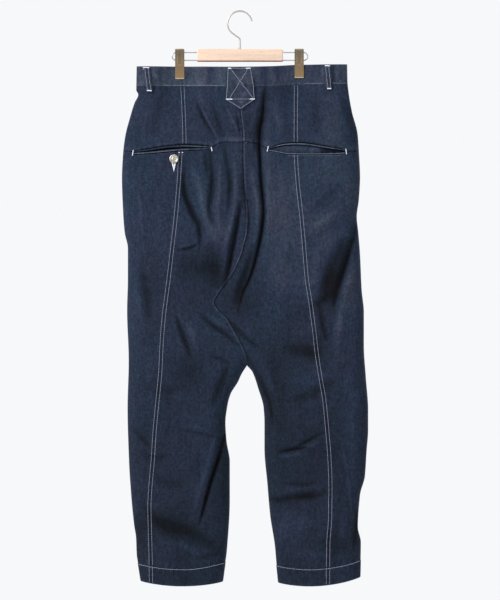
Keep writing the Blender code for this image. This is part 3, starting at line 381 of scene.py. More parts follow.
PATCH_TOP_WIDTH, PATCH_FOOT_WIDTH = 0.0450, 0.0565
PATCH_TOP_DROP, PATCH_FOOT_DROP, PATCH_TIP_DROP = 0.0030, 0.0630, 0.0825
PATCH_TOP_X, PATCH_TIP_X = -0.0013, 0.0015
PATCH_FOOT_SHARE = (PATCH_FOOT_DROP - PATCH_TOP_DROP) / (PATCH_TIP_DROP - PATCH_TOP_DROP)
PATCH_CLOTH, PATCH_BOW = 0.0018, 0.0022

FLY_WIDTH, FLY_END_DROP = 0.038, 0.195

BUTTON_X, BUTTON_DROP = -0.1263, 0.1790
WAIST_BUTTON_X, WAIST_BUTTON_DROP = -0.0140, 0.0190
BUTTON_RADIUS, BUTTON_LIFT, SHANK_RADIUS = 0.0087, 0.0026, 0.0020
BUTTONHOLE_EYE, BUTTONHOLE_TAIL = 0.0038, 0.0237
BUTTON_BEADS, BUTTON_BEAD_RADIUS = 18, 0.00052
SATIN_PITCH, SATIN_WIDTH = 0.00062, 0.00072

HOOK_WIRE, HOOK_RADIUS = 0.0017, 0.0236
HOOK_START_ANGLE, HOOK_END_ANGLE = math.radians(234.0), math.radians(10.0)
HOOK_ELBOW_DROP, HOOK_BEND = 0.0098, 0.0034
WIRE_CLEARANCE = 0.0003
BAR_WIDTH, BAR_HEIGHT, BAR_THICKNESS = 0.1650, 0.0245, 0.0120
BAR_TOP_Z, BAR_ROUNDING = -0.0710, 0.0022
RAIL_WIRE = 0.0011
RAIL_UPPER_Z, RAIL_LOWER_Z = -0.0777, -0.0927
RAIL_OUTER_X = 0.1300
SOCKET_DEPTH = 0.0110
JAW_THICKNESS = 0.0012
JAW_TOP_Z, JAW_FOOT_Z = -0.0707, {LEFT: -0.1284, RIGHT: -0.1264}
SPRING_RADIUS, SPRING_WIRE, SPRING_WIDTH = 0.0043, 0.0006, 0.0120

# The camera stands where the photo was taken from: square on, with a long lens
CAMERA_X, CAMERA_Z = 0.0192, -0.5522
CAMERA_DISTANCE = 9.0
CLOTH_PLANE_Y = -0.025
FRAME_HEIGHT = 1.1473
SENSOR = 36.0
FLOOR_Z, FLOOR_RADIUS = -1.50, 2.6
LIGHTS_AIM_Z = -0.55
# Softboxes: name, place, size, and share of the key light's power
SOFTBOXES = (
    ("key_softbox", (-2.9, -2.1, 1.5), 1.4, 1.0),
    ("fill_softbox", (2.4, -3.4, 0.2), 2.0, 0.10),
    ("back_softbox", (1.6, 3.2, 1.4), 2.2, 0.60),
)


def linear(hex_colour):
    """An sRGB hex colour as linear red, green, blue and alpha."""
    channels = [int(hex_colour[i : i + 2], 16) / 255 for i in (1, 3, 5)]
    return [*(c / 12.92 if c <= 0.04045 else ((c + 0.055) / 1.055) ** 2.4 for c in channels), 1.0]


def colour_property(name, description, hex_colour):
    return FloatVectorProperty(
        name=name, description=description, subtype="COLOR", size=4,
        min=0.0, max=1.0, default=linear(hex_colour),
    )


def length_property(name, description, metres):
    return FloatProperty(
        name=name, description=description, subtype="DISTANCE", unit="LENGTH",
        precision=4, min=0.0, default=metres,
    )


class JeansClothSettings(bpy.types.PropertyGroup):
    mesh_step: length_property(
        "Mesh step", "Widest spacing of the back's points; the front's is a quarter wider", 0.0024
    )
    crease_strength: FloatProperty(
        name="Creases", description="Multiplies the depth of every crease",
        subtype="FACTOR", min=0.0, soft_max=2.0, default=1.0,
    )
    drape: length_property("Drape", "Height of the soft unevenness of the hanging cloth", 0.0011)
    pucker: length_property("Pucker", "Height of the small waves that sewing pulls up", 0.00055)


class JeansThreadSettings(bpy.types.PropertyGroup):
    pitch: length_property("Stitch pitch", "From one stitch to the next", 0.0038)
    stitch: length_property("Stitch length", "Length of thread that shows in each", 0.0035)
    width: length_property("Thread width", "Width of a topstitching thread", 0.00072)
    row_gap: length_property("Row gap", "Between the two rows of a double seam", 0.0062)


class JeansColourSettings(bpy.types.PropertyGroup):
    # Painted shade: this near-black stop stands for shade deep in folds and ditches
    indigo_shade: colour_property("Shaded indigo", "Dye deep in the folds and ditches", "#090C11")
    # Partly dye, partly painted shade in shallow troughs
    indigo_deep_and_shaded: colour_property("Deep indigo", "Dye in shallow troughs", "#151B25")
    indigo: colour_property("Indigo", "Dye of most of the warp", "#1F2736")
    # Partly rubbed, partly painted highlight on ridges and seam edges
    indigo_worn_and_lit: colour_property("Worn indigo", "Rubbed ridges and seam edges", "#3B414B")
    teal_cast: colour_property("Teal cast", "Tint of the greener patches of the dye", "#DEECF0")
    violet_cast: colour_property("Violet cast", "Tint of the redder patches of the dye", "#F0EAF1")
    thread: colour_property("Thread", "Topstitching", "#7D8292")
    tack_thread: colour_property("Bartack thread", "Bartacks and the buttonhole", "#C3C6D0")
    wood: colour_property("Beech", "The hanger's bar", "#C5AC98")
    bronze: colour_property("Antique brass", "The hanger's clips", "#6F6352")
    # Painted reflection: the paler, more golden lower halves of the clips
    reflecting_brass: colour_property("Rubbed brass", "The clips' lower halves", "#8C7454")


class JeansStageSettings(bpy.types.PropertyGroup):
    floor: colour_property("Floor", "The studio floor", "#E9EAEC")
    air: colour_property("Air", "The white room all round", "#F7F8FA")
    key_watts: FloatProperty(
        name="Key light", description="Power of the large softbox", unit="POWER",
        min=0.0, default=210.0,
    )


def smoothstep(low, high, value):
    t = np.clip((value - low) / (high - low), 0.0, 1.0)
    return t * t * (3 - 2 * t)


def mix(a, b, share):
    return a + (b - a) * share


def bell(distance, width):
    return np.exp(-((distance / width) ** 2))


def plateau(distance, width):
    """Like a bell, with a flat top and steep sides."""
    return np.exp(-((distance / width) ** 4))


def unit(vectors):
    return vectors / np.maximum(np.linalg.norm(vectors, axis=-1, keepdims=True), 1e-12)


def travelled(points):
    """How far along a run of points each of them lies."""
    return np.concatenate([[0], np.cumsum(np.linalg.norm(np.diff(points, axis=0), axis=1))])


def shares(drop):
    """The share of the way down at each row, as a column."""
    return ((drop - drop[0]) / (drop[-1] - drop[0]))[:, None]


def noise(u, v, seed):
    """Smooth noise from -1 to 1 whose features are about 1 across."""
    size = 61
    lattice = np.random.default_rng(seed).uniform(-1, 1, (size, size))
    u, v = np.broadcast_arrays(np.asarray(u, float), np.asarray(v, float))
    i, j = np.floor(u).astype(int), np.floor(v).astype(int)
    a, b = u - i, v - j
    a, b = a * a * a * (a * (a * 6 - 15) + 10), b * b * b * (b * (b * 6 - 15) + 10)

    def at(di, dj):
        return lattice[(i + di) % size, (j + dj) % size]

    return mix(mix(at(0, 0), at(1, 0), a), mix(at(0, 1), at(1, 1), a), b)


def waistband_foot(x):
    return waist_line(x) + WAISTBAND_HEIGHT


def across_pocket(pocket, line, x):
    """The drop of one of a pocket's lines at each x."""
    return smooth_path(getattr(pocket, line))(x)


def beside_pockets(x, line):
    """The yoke seam, which gives way to this line of a pocket between that pocket's ends."""
    level = yoke_seam(x)
    for pocket in POCKETS:
        within = smoothstep(pocket.start - 2 * MM, pocket.start + MM, x)
        within = within * smoothstep(pocket.end + 2 * MM, pocket.end - MM, x)
        level = mix(level, across_pocket(pocket, line, x), within)
    return level


def pocket_swing(pocket, x):
    """0 at a pocket's ends and 1 over most of its length."""
    opening = 0.02
    from_start = smoothstep(pocket.start, pocket.start + opening, x)
    return from_start * smoothstep(pocket.end, pocket.end - opening, x)


def yoke_foot(x):
    widened = sum(pocket_swing(pocket, x) for pocket in POCKETS)
    return beside_pockets(x, "upper_ditch") - DITCH * widened - SEAM_GAP / 2


def panel_top(x):
    return beside_pockets(x, "lower_ditch") + SEAM_GAP / 2


def along_hem(x, leg):
    """The share of the way along the hem's foot, from the viewer's left."""
    hem, (first, second) = HEMS[leg], LEG_SIDES[leg]
    start, end = first(hem.left_end), second(hem.right_end)
    return (x - start) / (end - start)


def hem_foot(x, leg):
    """The drop of the hem's lower edge, along an arc through its two ends and its middle."""
    hem, share = HEMS[leg], along_hem(x, leg)
    dip = hem.middle - (hem.left_end + hem.right_end) / 2
    return mix(hem.left_end, hem.right_end, share) + dip * 4 * share * (1 - share)


def hem_top(x, leg):
    rise = HEMS[leg].rise * smoothstep(0.55, 1.05, along_hem(x, leg))
    return hem_foot(x, leg) - HEM_HEIGHT - rise


def clip_pinch(x, drop):
    """How far the nearest clip flattens the cloth here, from 0 to 1."""
    beside = np.minimum(*(np.abs(x - clip) - CLIP_WIDTH / 2 - 0.001 for clip in CLIP_X))
    beside = np.maximum(beside, 0.0)
    return (1 - smoothstep(PINCH_FULL_DROP, PINCH_END_DROP, drop)) * bell(beside, PINCH_REACH)


def fullness(distance, softness):
    """Share of the full depth, squared, that the cloth has this far in from a folded edge."""
    return 1 - np.exp(-2 * np.maximum(distance, 0.0) / softness)


def swell_squared(x, drop, face):
    """The square of how far the cloth stands off the middle plane, before its creases."""
    deep = DEPTH_OF[face](drop)
    softness = deep / EDGE_ROUNDNESS
    above, left = drop < CROTCH_DROP, x < CROTCH_X
    swell = mix(deep, CLIP_PINCH_DEPTH, clip_pinch(x, drop)) ** 2
    notch = np.where(
        above,
        np.hypot(x - CROTCH_X, drop - CROTCH_DROP),
        np.where(left, left_inside_leg(drop) - x, x - right_inside_leg(drop)),
    )
    from_left = fullness(x - left_edge(drop), softness)
    from_right = fullness(right_edge(drop) - x, softness)
    swell = swell * np.where(above | left, from_left, 1.0)
    swell = swell * np.where(above | ~left, from_right, 1.0)
    return swell * fullness(notch, softness)


def creases(x, drop, face):
    """The sum of the creases that pass near each place, in metres outward."""
    total = np.zeros(x.shape)
    for number, crease in enumerate(BACK_CREASES if face == BACK else FRONT_CREASES):
        path = np.array(crease.path) * MM
        key = 1 if crease.run == DOWN else 0
        here, beside = (drop, x) if crease.run == DOWN else (x, drop)
        start, end = path[0, key], path[-1, key]
        wide = crease.width * MM
        reach = CREASE_REACH * wide * (1 + abs(crease.lean))
        low, high = path[:, 1 - key].min() - reach * 2, path[:, 1 - key].max() + reach * 2
        near = (here > start) & (here < end) & (beside > low) & (beside < high)
        if not near.any():
            continue
        curve = smooth_path(path[:, [key, 1 - key]])
        at = here[near]
        slope = (curve(at + MM) - curve(at - MM)) / (2 * MM)
        aside = (beside[near] - curve(at)) / np.sqrt(1 + slope**2)
        share = (at - start) / (end - start)
        swing = np.sin(math.pi * share)
        spread_out = wide * (0.6 + 0.4 * swing) * (1 + crease.lean * np.tanh(aside / wide))
        wander = noise(at / CREASE_WANDER_LENGTH + 7.3 * number, 0.5, 11)
        uneven = 1 + CREASE_WANDER * wander
        total[near] += crease.height * MM * swing**0.7 * uneven * bell(aside, spread_out)
    return total


def drape(x, drop, face):
    """The soft unevenness of heavy cloth that hangs: tall shallow waves, and smaller ones."""
    seed = 21 if face == BACK else 22
    tall = noise(x / 0.034, drop / 0.120, seed)
    wave = noise(x / 0.017 + 9, drop / 0.045 + 4, seed + 10)
    small = noise(x / 0.0085 + 3, drop / 0.014 + 8, seed + 20)
    return tall + 0.45 * wave + 0.16 * small


def sewn_wave(distance, phase):
    """The uneven pucker along a seam, from -1 to 1, at this distance along it."""
    wander = noise(distance / 0.045 + phase, phase, 31)
    strength = 0.65 + 0.35 * noise(distance / 0.028 + phase, phase + 5, 32)
    return strength * np.sin(2 * math.pi * distance / PUCKER_LENGTH + 3.2 * wander + phase)


def seam_relief(x, drop, face, pucker):
    """Folded allowances that stand up beside seams, the groove between, and the pucker."""
    relief = np.zeros(x.shape)
    above_crotch = 1 - smoothstep(CROTCH_DROP - SEAT_SEAM_FADE, CROTCH_DROP, drop)
    if face == BACK:
        for number, seam in enumerate((left_panel_seam, right_panel_seam)):
            aside = x - seam(drop)
            relief += 0.00065 * plateau(aside, ALLOWANCE_REACH)
            relief -= 0.00045 * bell(aside, GROOVE_WIDTH)
            relief += pucker * sewn_wave(drop, 1.7 * number) * bell(aside, PUCKER_REACH)
        aside = x - centre_back(drop)
        relief += above_crotch * ALLOWANCE_RISE * bell(aside, 0.0035)
        relief -= above_crotch * 0.0007 * bell(aside, 0.0010)
        relief += 1.1 * pucker * sewn_wave(drop, 4.1) * bell(aside, 0.0090) * above_crotch
        below = drop - yoke_seam(x)
        relief += ALLOWANCE_RISE * plateau(np.minimum(below, 0), 0.0085) * (below < 0)
        relief += pucker * sewn_wave(x, 2.9) * bell(below, 0.0100)
    else:
        aside = x - centre_front(drop)
        relief += above_crotch * ALLOWANCE_RISE * plateau(aside, ALLOWANCE_REACH)
        relief -= above_crotch * ALLOWANCE_RISE * bell(aside, GROOVE_WIDTH)
        relief += above_crotch * pucker * sewn_wave(drop, 5.3) * bell(aside, PUCKER_REACH)
    foot = waistband_foot(x)
    relief += 0.9 * pucker * sewn_wave(x, 6.1 + face) * bell(drop - foot, 0.0085)
    for leg, inside in ((LEFT, x < CROTCH_X), (RIGHT, x >= CROTCH_X)):
        over = hem_top(x, leg) - drop
        roping = sewn_wave(x + 0.45 * (drop - 0.95), 7.7 + face)
        relief += inside * 1.25 * pucker * roping * bell(over, 0.0120)
    return relief


def ripples(x, drop, face):
    """The upright ripples of the waistband between its loops and clips."""
    within = 1 - smoothstep(WAISTBAND_HEIGHT * 0.8, WAISTBAND_HEIGHT * 1.5, drop)
    fine = noise(x / 0.0072 + 3 * face, drop / 0.060, 41)
    broad = noise(x / 0.019 + 5 * face, drop / 0.080, 42)
    quiet = 1 - 0.75 * clip_pinch(x, drop)
    return within * quiet * (0.00055 * fine + 0.0007 * broad)


def layers(x, drop, face, settings):
    """The squared swell, and the relief that lies on it, at each place."""
    swell = swell_squared(x, drop, face)
    settled = smoothstep(0.15, 0.75, np.sqrt(swell) / DEPTH_OF[face](drop))
    relief = settings.crease_strength * creases(x, drop, face)
    relief += settings.drape * drape(x, drop, face) * (1 - 0.8 * clip_pinch(x, drop))
    relief += seam_relief(x, drop, face, settings.pucker) + ripples(x, drop, face)
    return swell, settled * relief


def on_cloth(x, drop, face, lift=0.0):
    """Points that lie this far out on the visible cloth, and the cloth's normals there."""
    settings = bpy.context.scene.jeans_cloth
    x, drop = np.broadcast_arrays(np.asarray(x, float), np.asarray(drop, float))
    step = 0.0006
    swell, relief = layers(x, drop, face, settings)
    root = np.sqrt(np.maximum(swell, 0.0))

    def slope(dx, dd):
        swell_on, relief_on = layers(x + dx, drop + dd, face, settings)
        swell_back, relief_back = layers(x - dx, drop - dd, face, settings)
        return (swell_on - swell_back + 2 * root * (relief_on - relief_back)) / (2 * step)

    outward = face * (2 * root + 1e-9)
    normals = unit(np.stack([-slope(step, 0), outward, slope(0, step)], -1))
    stand = root + relief + SEAM_GAP / 2
    points = np.stack([x, face * stand, WAIST_TOP_Z - drop], -1)
    return points + normals * np.asarray(lift)[..., None], normals


# Distances in from a boundary at which the cloth's points crowd together: at a leg's folded
# edge, at a seam, and where a band of cloth is turned under
FOLD_BAND = np.array([0, 0.3, 1.0, 2.1, 3.6, 5.6, 8.1, 11.0, 14.4, 18.2]) * MM
SEAM_BAND = np.array([0, 0.8, 1.7, 2.8, 4.2, 6.2, 8.8]) * MM
TURN_BAND = np.array([0, 0.25, 0.7, 1.4, 2.4]) * MM


def spread(start, end, step, first_band, last_band):
    """Places from start to end in each row, crowded at both ends, as a row of columns for each."""
    start, end = np.atleast_1d(start)[:, None], np.atleast_1d(end)[:, None]
    bands = first_band[-1] + last_band[-1]
    room = np.minimum(1.0, 0.8 * (end - start) / bands)
    middle = max(2, round(((end - start).max() - bands) / step))
    low = start + room * first_band
    high = end - room * last_band[::-1]
    between = low[:, -1:] + (high[:, :1] - low[:, -1:]) * np.linspace(0, 1, middle + 1)
    return np.concatenate([low[:, :-1], between, high[:, 1:]], axis=1)


def dress(piece, material, node=None, slot="indigo_denim"):
    """Gives a finished piece its material and body, and hides the solid that it stands for."""
    piece.data.materials.append(material)
    bpy.context.scene.collection.objects.link(piece)
    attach(piece, "root")
    if node:
        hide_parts(node)
    return piece


def cut_size(outer, ring):
    """Width, length and area of the flat cloth, measured along its surface."""
    if ring:
        outer = np.concatenate([outer, outer[:, :1]], axis=1)
    across = np.linalg.norm(np.diff(outer, axis=1), axis=-1)
    down = np.linalg.norm(np.diff(outer, axis=0), axis=-1)
    a, b = np.diff(outer, axis=1)[:-1], np.diff(outer, axis=0)[:, :-1]
    area = float(np.linalg.norm(np.cross(a, b), axis=-1).sum())
    width, length = float(across.sum(1).max()), float(down.sum(0).max())
    return (width, max(length, LEAST_SHEET)), min(area, width * length)


def wall(name, outer, inner, face, worn_and_painted_light, inner_wear_and_light, sharp_degrees, ring=False):
    """A mesh with an outer and an inner skin through two grids of points, closed at its edges."""
    rows, columns = outer.shape[:2]
    count = rows * columns
    index = np.arange(count).reshape(rows, columns)
    if ring:
        index = np.concatenate([index, index[:, :1]], axis=1)
    a, b, c, d = index[:-1, :-1], index[:-1, 1:], index[1:, 1:], index[1:, :-1]
    skin = np.stack([a, d, c, b], -1).reshape(-1, 4)
    faces = [skin, skin[:, ::-1] + count]
    edges = [(index[0, :-1], index[0, 1:]), (index[-1, 1:], index[-1, :-1])]
    if not ring:
        edges += [(index[1:, 0], index[:-1, 0]), (index[:-1, -1], index[1:, -1])]
    for near, far in edges:
        faces.append(np.stack([near, far, far + count, near + count], -1))
    faces = np.concatenate(faces)
    if face == FRONT:
        faces = faces[:, ::-1]
    mesh = bpy.data.meshes.new(name)
    points = np.concatenate([outer.reshape(-1, 3), inner.reshape(-1, 3)])
    mesh.from_pydata(points.tolist(), [], faces.tolist())
    worn_and_painted_light = np.concatenate([worn_and_painted_light.reshape(-1), worn_and_painted_light.reshape(-1) * inner_wear_and_light])
    # The attribute carries the cloth's wear together with painted shade and painted highlight
    attribute = mesh.attributes.new("wear_and_painted_light", "FLOAT", "POINT")
    attribute.data.foreach_set("value", worn_and_painted_light.astype(np.float32))
    mesh.shade_smooth()
    mesh.set_sharp_from_angle(angle=math.radians(sharp_degrees))
    return mesh


def cloth(name, outer, normals, thickness, face, wear_and_painted_light, ring=False):
    """A thin wall of denim with its outer skin through a grid of points."""
    worn_and_painted_light = np.broadcast_to(np.clip(wear_and_painted_light, 0, 1), outer.shape[:2])
    mesh = wall(name, outer, outer - normals * thickness, face, worn_and_painted_light, 0.6, 55, ring)
    piece = dress(bpy.data.objects.new(f"{name}_cloth", mesh), denim(), name)
    flat, area = cut_size(outer, ring)


def wear_and_shade_of(x, drop, face):
    """Faded dye, with painted shade and highlight that follow the relief: from 0 in troughs to 1 on
    ridges and seam edges.
    """
    settings = bpy.context.scene.jeans_cloth
    fine = creases(x, drop, face) + 1.2 * seam_relief(x, drop, face, settings.pucker)
    fine += 0.5 * settings.drape * drape(x, drop, face)
    # Painted shade in the troughs and painted highlight on the ridges, partly rubbed dye, from the
    # relief; darker down the legs
    worn_and_painted_light = 0.47 + 0.5 * np.tanh(fine / 0.0068) - 0.14 * smoothstep(0.38, 0.74, drop)
    seat = centre_back if face == BACK else centre_front
    above_crotch = 1 - smoothstep(CROTCH_DROP - 0.03, CROTCH_DROP, drop)
    aside = x - seat(drop)
    # A painted highlight along the seat seam's ridge
    worn_and_painted_light += above_crotch * 0.42 * bell(aside - 0.0012, 0.0011)
    # The shaded side of the seam's edge changes over where the seam turns down the seat
    turned = smoothstep(0.235, 0.272, drop)
    shaded = bell(aside - mix(-0.0014, 0.0040, turned), 0.0014)
    worn_and_painted_light -= above_crotch * mix(0.30, 0.46, turned) * shaded
    if face == BACK:
        for area in BACK_LIGHT_AND_WEAR_AREAS:
            across = (x - area.x * MM) / (area.wide * MM)
            down = (drop - area.drop * MM) / (area.tall * MM)
            worn_and_painted_light += area.change * np.exp(-(across**2 + down**2))
        # Painted highlight, partly rubbed, on the allowance just above the yoke seam, and painted
        # shade in its groove
        below = drop - yoke_seam(x)
        centre = bell(x + 0.014, 0.022)
        worn_and_painted_light += (0.06 + 0.20 * centre) * bell(below + 0.0055, 0.0045) - 0.30 * bell(below, 0.0012)
        # Painted shade in the panel seams' grooves
        for seam in (left_panel_seam, right_panel_seam):
            worn_and_painted_light -= 0.20 * bell(x - seam(drop), 0.0012)
    return np.clip(worn_and_painted_light, 0.0, 1.0)


def add_node(tree, kind, settings=(), links=()):
    """Adds a node, with its settings and input values by name, and links sockets into it."""
    made = tree.nodes.new(kind)
    for name, value in dict(settings).items():
        if isinstance(name, str) and hasattr(made, name):
            setattr(made, name, value)
        else:
            made.inputs[name].default_value = value
    for name, socket in dict(links).items():
        tree.links.new(socket, made.inputs[name])
    return made


def new_material(name, **values):
    """A material with a Principled shader that has these socket values."""
    material = bpy.data.materials.new(name)
    material.use_nodes = True
    shader = material.node_tree.nodes["Principled BSDF"]
    for socket, value in values.items():
        shader.inputs[socket.replace("_", " ")].default_value = value
    return material, material.node_tree, shader


def grey(value):
    return (value, value, value, 1.0)


def object_place(tree):
    return add_node(tree, "ShaderNodeTexCoord").outputs["Object"]


def patterned(tree, across_mm, deep_mm, tall_mm):
    """Places on the object in units of these sizes, so that a pattern has its real size."""
    scale = [1000 / size for size in (across_mm, deep_mm, tall_mm)]
    links = {"Vector": object_place(tree)}
    return add_node(tree, "ShaderNodeMapping", {"Scale": scale}, links).outputs[0]


def grain(tree, sizes_mm, detail, roughness=0.5):
    """Noise whose features have these sizes across, deep and tall."""
    settings = {"Scale": 1.0, "Detail": detail, "Roughness": roughness}
    links = {"Vector": patterned(tree, *sizes_mm)}
    return add_node(tree, "ShaderNodeTexNoise", settings, links).outputs["Fac"]


def diagonal_lines(tree, size_mm, more=()):
    """Lines that climb to the right, spaced by this size."""
    settings = {"bands_direction": "DIAGONAL", "Scale": 0.5, **dict(more)}
    links = {"Vector": patterned(tree, size_mm, size_mm, size_mm)}
    return add_node(tree, "ShaderNodeTexWave", settings, links).outputs["Fac"]


def up_the_piece(tree, low, high):
    """A value that goes from 0 at one height of the object to 1 at the other."""
    links = {"Vector": object_place(tree)}
    height = add_node(tree, "ShaderNodeSeparateXYZ", (), links).outputs["Z"]
    reach = {"From Min": low, "From Max": high}
    return add_node(tree, "ShaderNodeMapRange", reach, {"Value": height}).outputs["Result"]


def wear_and_light_attribute(tree):
    return add_node(tree, "ShaderNodeAttribute", {"attribute_name": "wear_and_painted_light"}).outputs["Fac"]


def ramp(tree, value, *stops):
    """A colour ramp on a value, with stops of place and colour."""
    made = add_node(tree, "ShaderNodeValToRGB", (), {"Fac": value})
    elements = made.color_ramp.elements
    while len(elements) < len(stops):
        elements.new(0.5)
    for element, (place, colour) in zip(elements, stops):
        element.position = place
        element.color = colour
    return made.outputs["Color"]


def multiplied(tree, first, second):
    """Multiplies two colours. Sockets 0, 6, 7 and output 2 are the node's factor and colours."""
    settings = {"data_type": "RGBA", "blend_type": "MULTIPLY", 0: 1.0}
    return add_node(tree, "ShaderNodeMix", settings, {6: first, 7: second}).outputs[2]


def raise_surface(tree, shader, height, strength, distance):
    settings = {"Strength": strength, "Distance": distance}
    bump = add_node(tree, "ShaderNodeBump", settings, {"Height": height})
    tree.links.new(bump.outputs["Normal"], shader.inputs["Normal"])


def shared(name):
    """Marks a function that makes a material: it runs once, and its material is used again."""
    return lambda make: lambda: bpy.data.materials.get(name) or make(name)


@shared("raw_indigo_denim")
def denim(name):
    """Raw indigo twill: blue warp over white weft, hardly washed: dark, matt, a little hairy."""
    colours = bpy.context.scene.jeans_colours
    material, tree, shader = new_material(
        name, Roughness=0.9, Sheen_Weight=0.05, Sheen_Roughness=0.5,
        Sheen_Tint=linear("#9FA9C4"), Specular_IOR_Level=0.08,
    )
    # Uneven warp yarns: upright streaks about 2 mm wide, which show from a step away
    slub = grain(tree, (2.4, 2.4, 42.0), 3.0, 0.6)
    # The weft's white flecks, drawn at 4 mm, several times their real size, so that they show
    fleck = grain(tree, (4.2, 4.2, 5.0), 4.0, 0.75)
    # Patches where the dye took greener or redder
    cast = grain(tree, (60.0, 60.0, 95.0), 2.0, 0.6)
    mottle = grain(tree, (10.0, 10.0, 15.0), 3.0, 0.6)
    # Twill lines climb to the right at 0.9 mm in the real cloth and are drawn at 2.1 mm
    twill = diagonal_lines(tree, 2.1, {"Distortion": 1.2, "Detail": 1.0, "Detail Scale": 2.0})

    # Ramp on the attribute: painted shade in troughs and ditches, then the dye, then rubbed ridges
    # with painted highlight
    dye = ramp(
        tree, wear_and_light_attribute(tree), (0.0, colours.indigo_shade), (0.26, colours.indigo_deep_and_shaded),
        (0.5, colours.indigo), (1.0, colours.indigo_worn_and_lit),
    )
    tint = ramp(tree, cast, (0.40, colours.violet_cast), (0.62, colours.teal_cast))
    colour = multiplied(tree, dye, tint)
    for pattern, low, high, dark, light in (
        (slub, 0.30, 0.70, 0.86, 1.15), (fleck, 0.36, 0.66, 0.66, 1.46),
        (mottle, 0.34, 0.68, 0.88, 1.14), (twill, 0.20, 0.80, 0.94, 1.06),
    ):
        tone = ramp(tree, pattern, (low, grey(dark)), (high, grey(light)))
        colour = multiplied(tree, colour, tone)
    tree.links.new(colour, shader.inputs["Base Color"])

    raised = add_node(tree, "ShaderNodeMath", {"operation": "ADD"}, {0: slub, 1: twill})
    both = add_node(
        tree, "ShaderNodeMath", {"operation": "MULTIPLY_ADD", 1: 2.2},
        {0: grain(tree, (6.5, 6.5, 9.0), 3.0, 0.6), 2: raised.outputs[0]},
    )
    raise_surface(tree, shader, both.outputs[0], 0.55, 0.00035)
    return material


def polyester_thread(name, colour):
    """Core-spun polyester thread: twisted, with a soft gloss, and stained by the indigo."""
    material, tree, shader = new_material(
        name, Roughness=0.55, Sheen_Weight=0.15, Specular_IOR_Level=0.35, Base_Color=colour
    )
    twist_mm = 0.7
    raise_surface(tree, shader, diagonal_lines(tree, twist_mm), 0.4, 0.0001)
    return material


@shared("varnished_beech")
def beech(name):
    """Steamed beech under thin satin varnish: pale pink-brown, with short dark flecks."""
    wood = bpy.context.scene.jeans_colours.wood
    material, tree, shader = new_material(
        name, Roughness=0.42, Coat_Weight=0.25, Coat_Roughness=0.25,
    )
    deep = [channel * 0.86 for channel in wood[:3]] + [1.0]
    rings = ramp(tree, grain(tree, (90.0, 4.5, 4.5), 4.0), (0.30, deep), (0.62, wood))
    fleck = grain(tree, (5.0, 0.9, 0.9), 1.0)
    colour = multiplied(tree, rings, ramp(tree, fleck, (0.30, grey(0.84)), (0.42, grey(1.0))))
    # Painted shade: darker brown along the lower edge, where shade falls under the bar
    foot = BAR_TOP_Z - BAR_HEIGHT
    above_painted_shade = up_the_piece(tree, foot + 0.0016, foot + 0.0034)
    run = ramp(tree, above_painted_shade, (0.0, linear("#9A7A6C")), (1.0, grey(1.0)))
    tree.links.new(multiplied(tree, colour, run), shader.inputs["Base Color"])
    return material


def worn_metal(name, colour, roughness, grime_mm, brushed_mm=0.0, patina=None, painted_light_below=None):
    """A plated metal: its plate is even, and handling has left faint dull patches of this size.

    A patina darkens the hollows between patches. Below a height the plate can turn to a second
    colour, a painted reflection, and its rolled lips to a pale painted highlight over partly scuffed
    plate.
    """
    material, tree, shader = new_material(name, Metallic=1.0, Base_Color=colour)
    across_mm = brushed_mm or grime_mm
    patches = grain(tree, (across_mm, across_mm, grime_mm), 3.0)
    ends = {"To Min": roughness - 0.08, "To Max": roughness + 0.12}
    dull = add_node(tree, "ShaderNodeMapRange", ends, {"Value": patches}).outputs["Result"]
    tree.links.new(dull, shader.inputs["Roughness"])
    if patina:
        tone = ramp(tree, patches, (0.44, patina), (0.56, colour))
        tree.links.new(tone, shader.inputs["Base Color"])
    # Below a height, a painted reflection
    if painted_light_below:
        height, second = painted_light_below
        share = up_the_piece(tree, height + 0.022, height - 0.016)
        tone = ramp(tree, share, (0.0, colour), (1.0, second))
        # A painted highlight on the rolled lips, partly scuffed plate
        pale_lips = {"data_type": "RGBA", "blend_type": "MIX", 7: linear("#CFC6B6")}
        both = add_node(tree, "ShaderNodeMix", pale_lips, {0: wear_and_light_attribute(tree), 6: tone})
        tree.links.new(both.outputs[2], shader.inputs["Base Color"])
    return material


@shared("topstitching_thread")
def thread(name):
    return polyester_thread(name, bpy.context.scene.jeans_colours.thread)


@shared("bartack_thread")
def tack_thread(name):
    return polyester_thread(name, bpy.context.scene.jeans_colours.tack_thread)


@shared("nickel_plated_wire")
def nickel(name):
    return worn_metal(name, linear("#A9A4A0"), 0.42, 14.0)


@shared("antique_brass")
def brass(name):
    colours = bpy.context.scene.jeans_colours
    # The clips' lower halves carry a painted reflection
    reflected_below = (-0.108, colours.reflecting_brass)
    return worn_metal(name, colours.bronze, 0.36, 9.0, 0.35, painted_light_below=reflected_below)


@shared("tumbled_silver_zinc")
def button_silver(name):
    return worn_metal(name, linear("#C2C0B8"), 0.34, 1.7, patina=linear("#8A8474"))


class Step:
    """What the steps share: each one makes its pieces, and reports that it has."""

    def execute(self, context):
        self.make()
        return {"FINISHED"}


# The pieces across the back and the front, from the viewer's left, and what bounds each
Panel = namedtuple("Panel", "name leg start end")
BACK_PIECES = (
    Panel("left_outer", LEFT, left_edge, left_panel_seam),
    Panel("left_inner", LEFT, left_panel_seam, centre_back),
    Panel("right_inner", RIGHT, centre_back, right_panel_seam),
    Panel("right_outer", RIGHT, right_panel_seam, right_edge),
)
FRONT_PIECES = (
    Panel("left", LEFT, left_edge, centre_front),
    Panel("right", RIGHT, centre_front, right_edge),
)
FOLDED_EDGES = (left_edge, right_edge)
MIDDLE_SEAMS = (centre_back, centre_front)


def boundary(curve, leg, drop):
    """Where a piece ends at each drop: its seam, or the inside leg once that has parted."""
    if curve not in MIDDLE_SEAMS:
        return curve(drop)
    inside = left_inside_leg if leg == LEFT else right_inside_leg
    return np.where(drop < CROTCH_DROP, curve(drop), inside(drop))


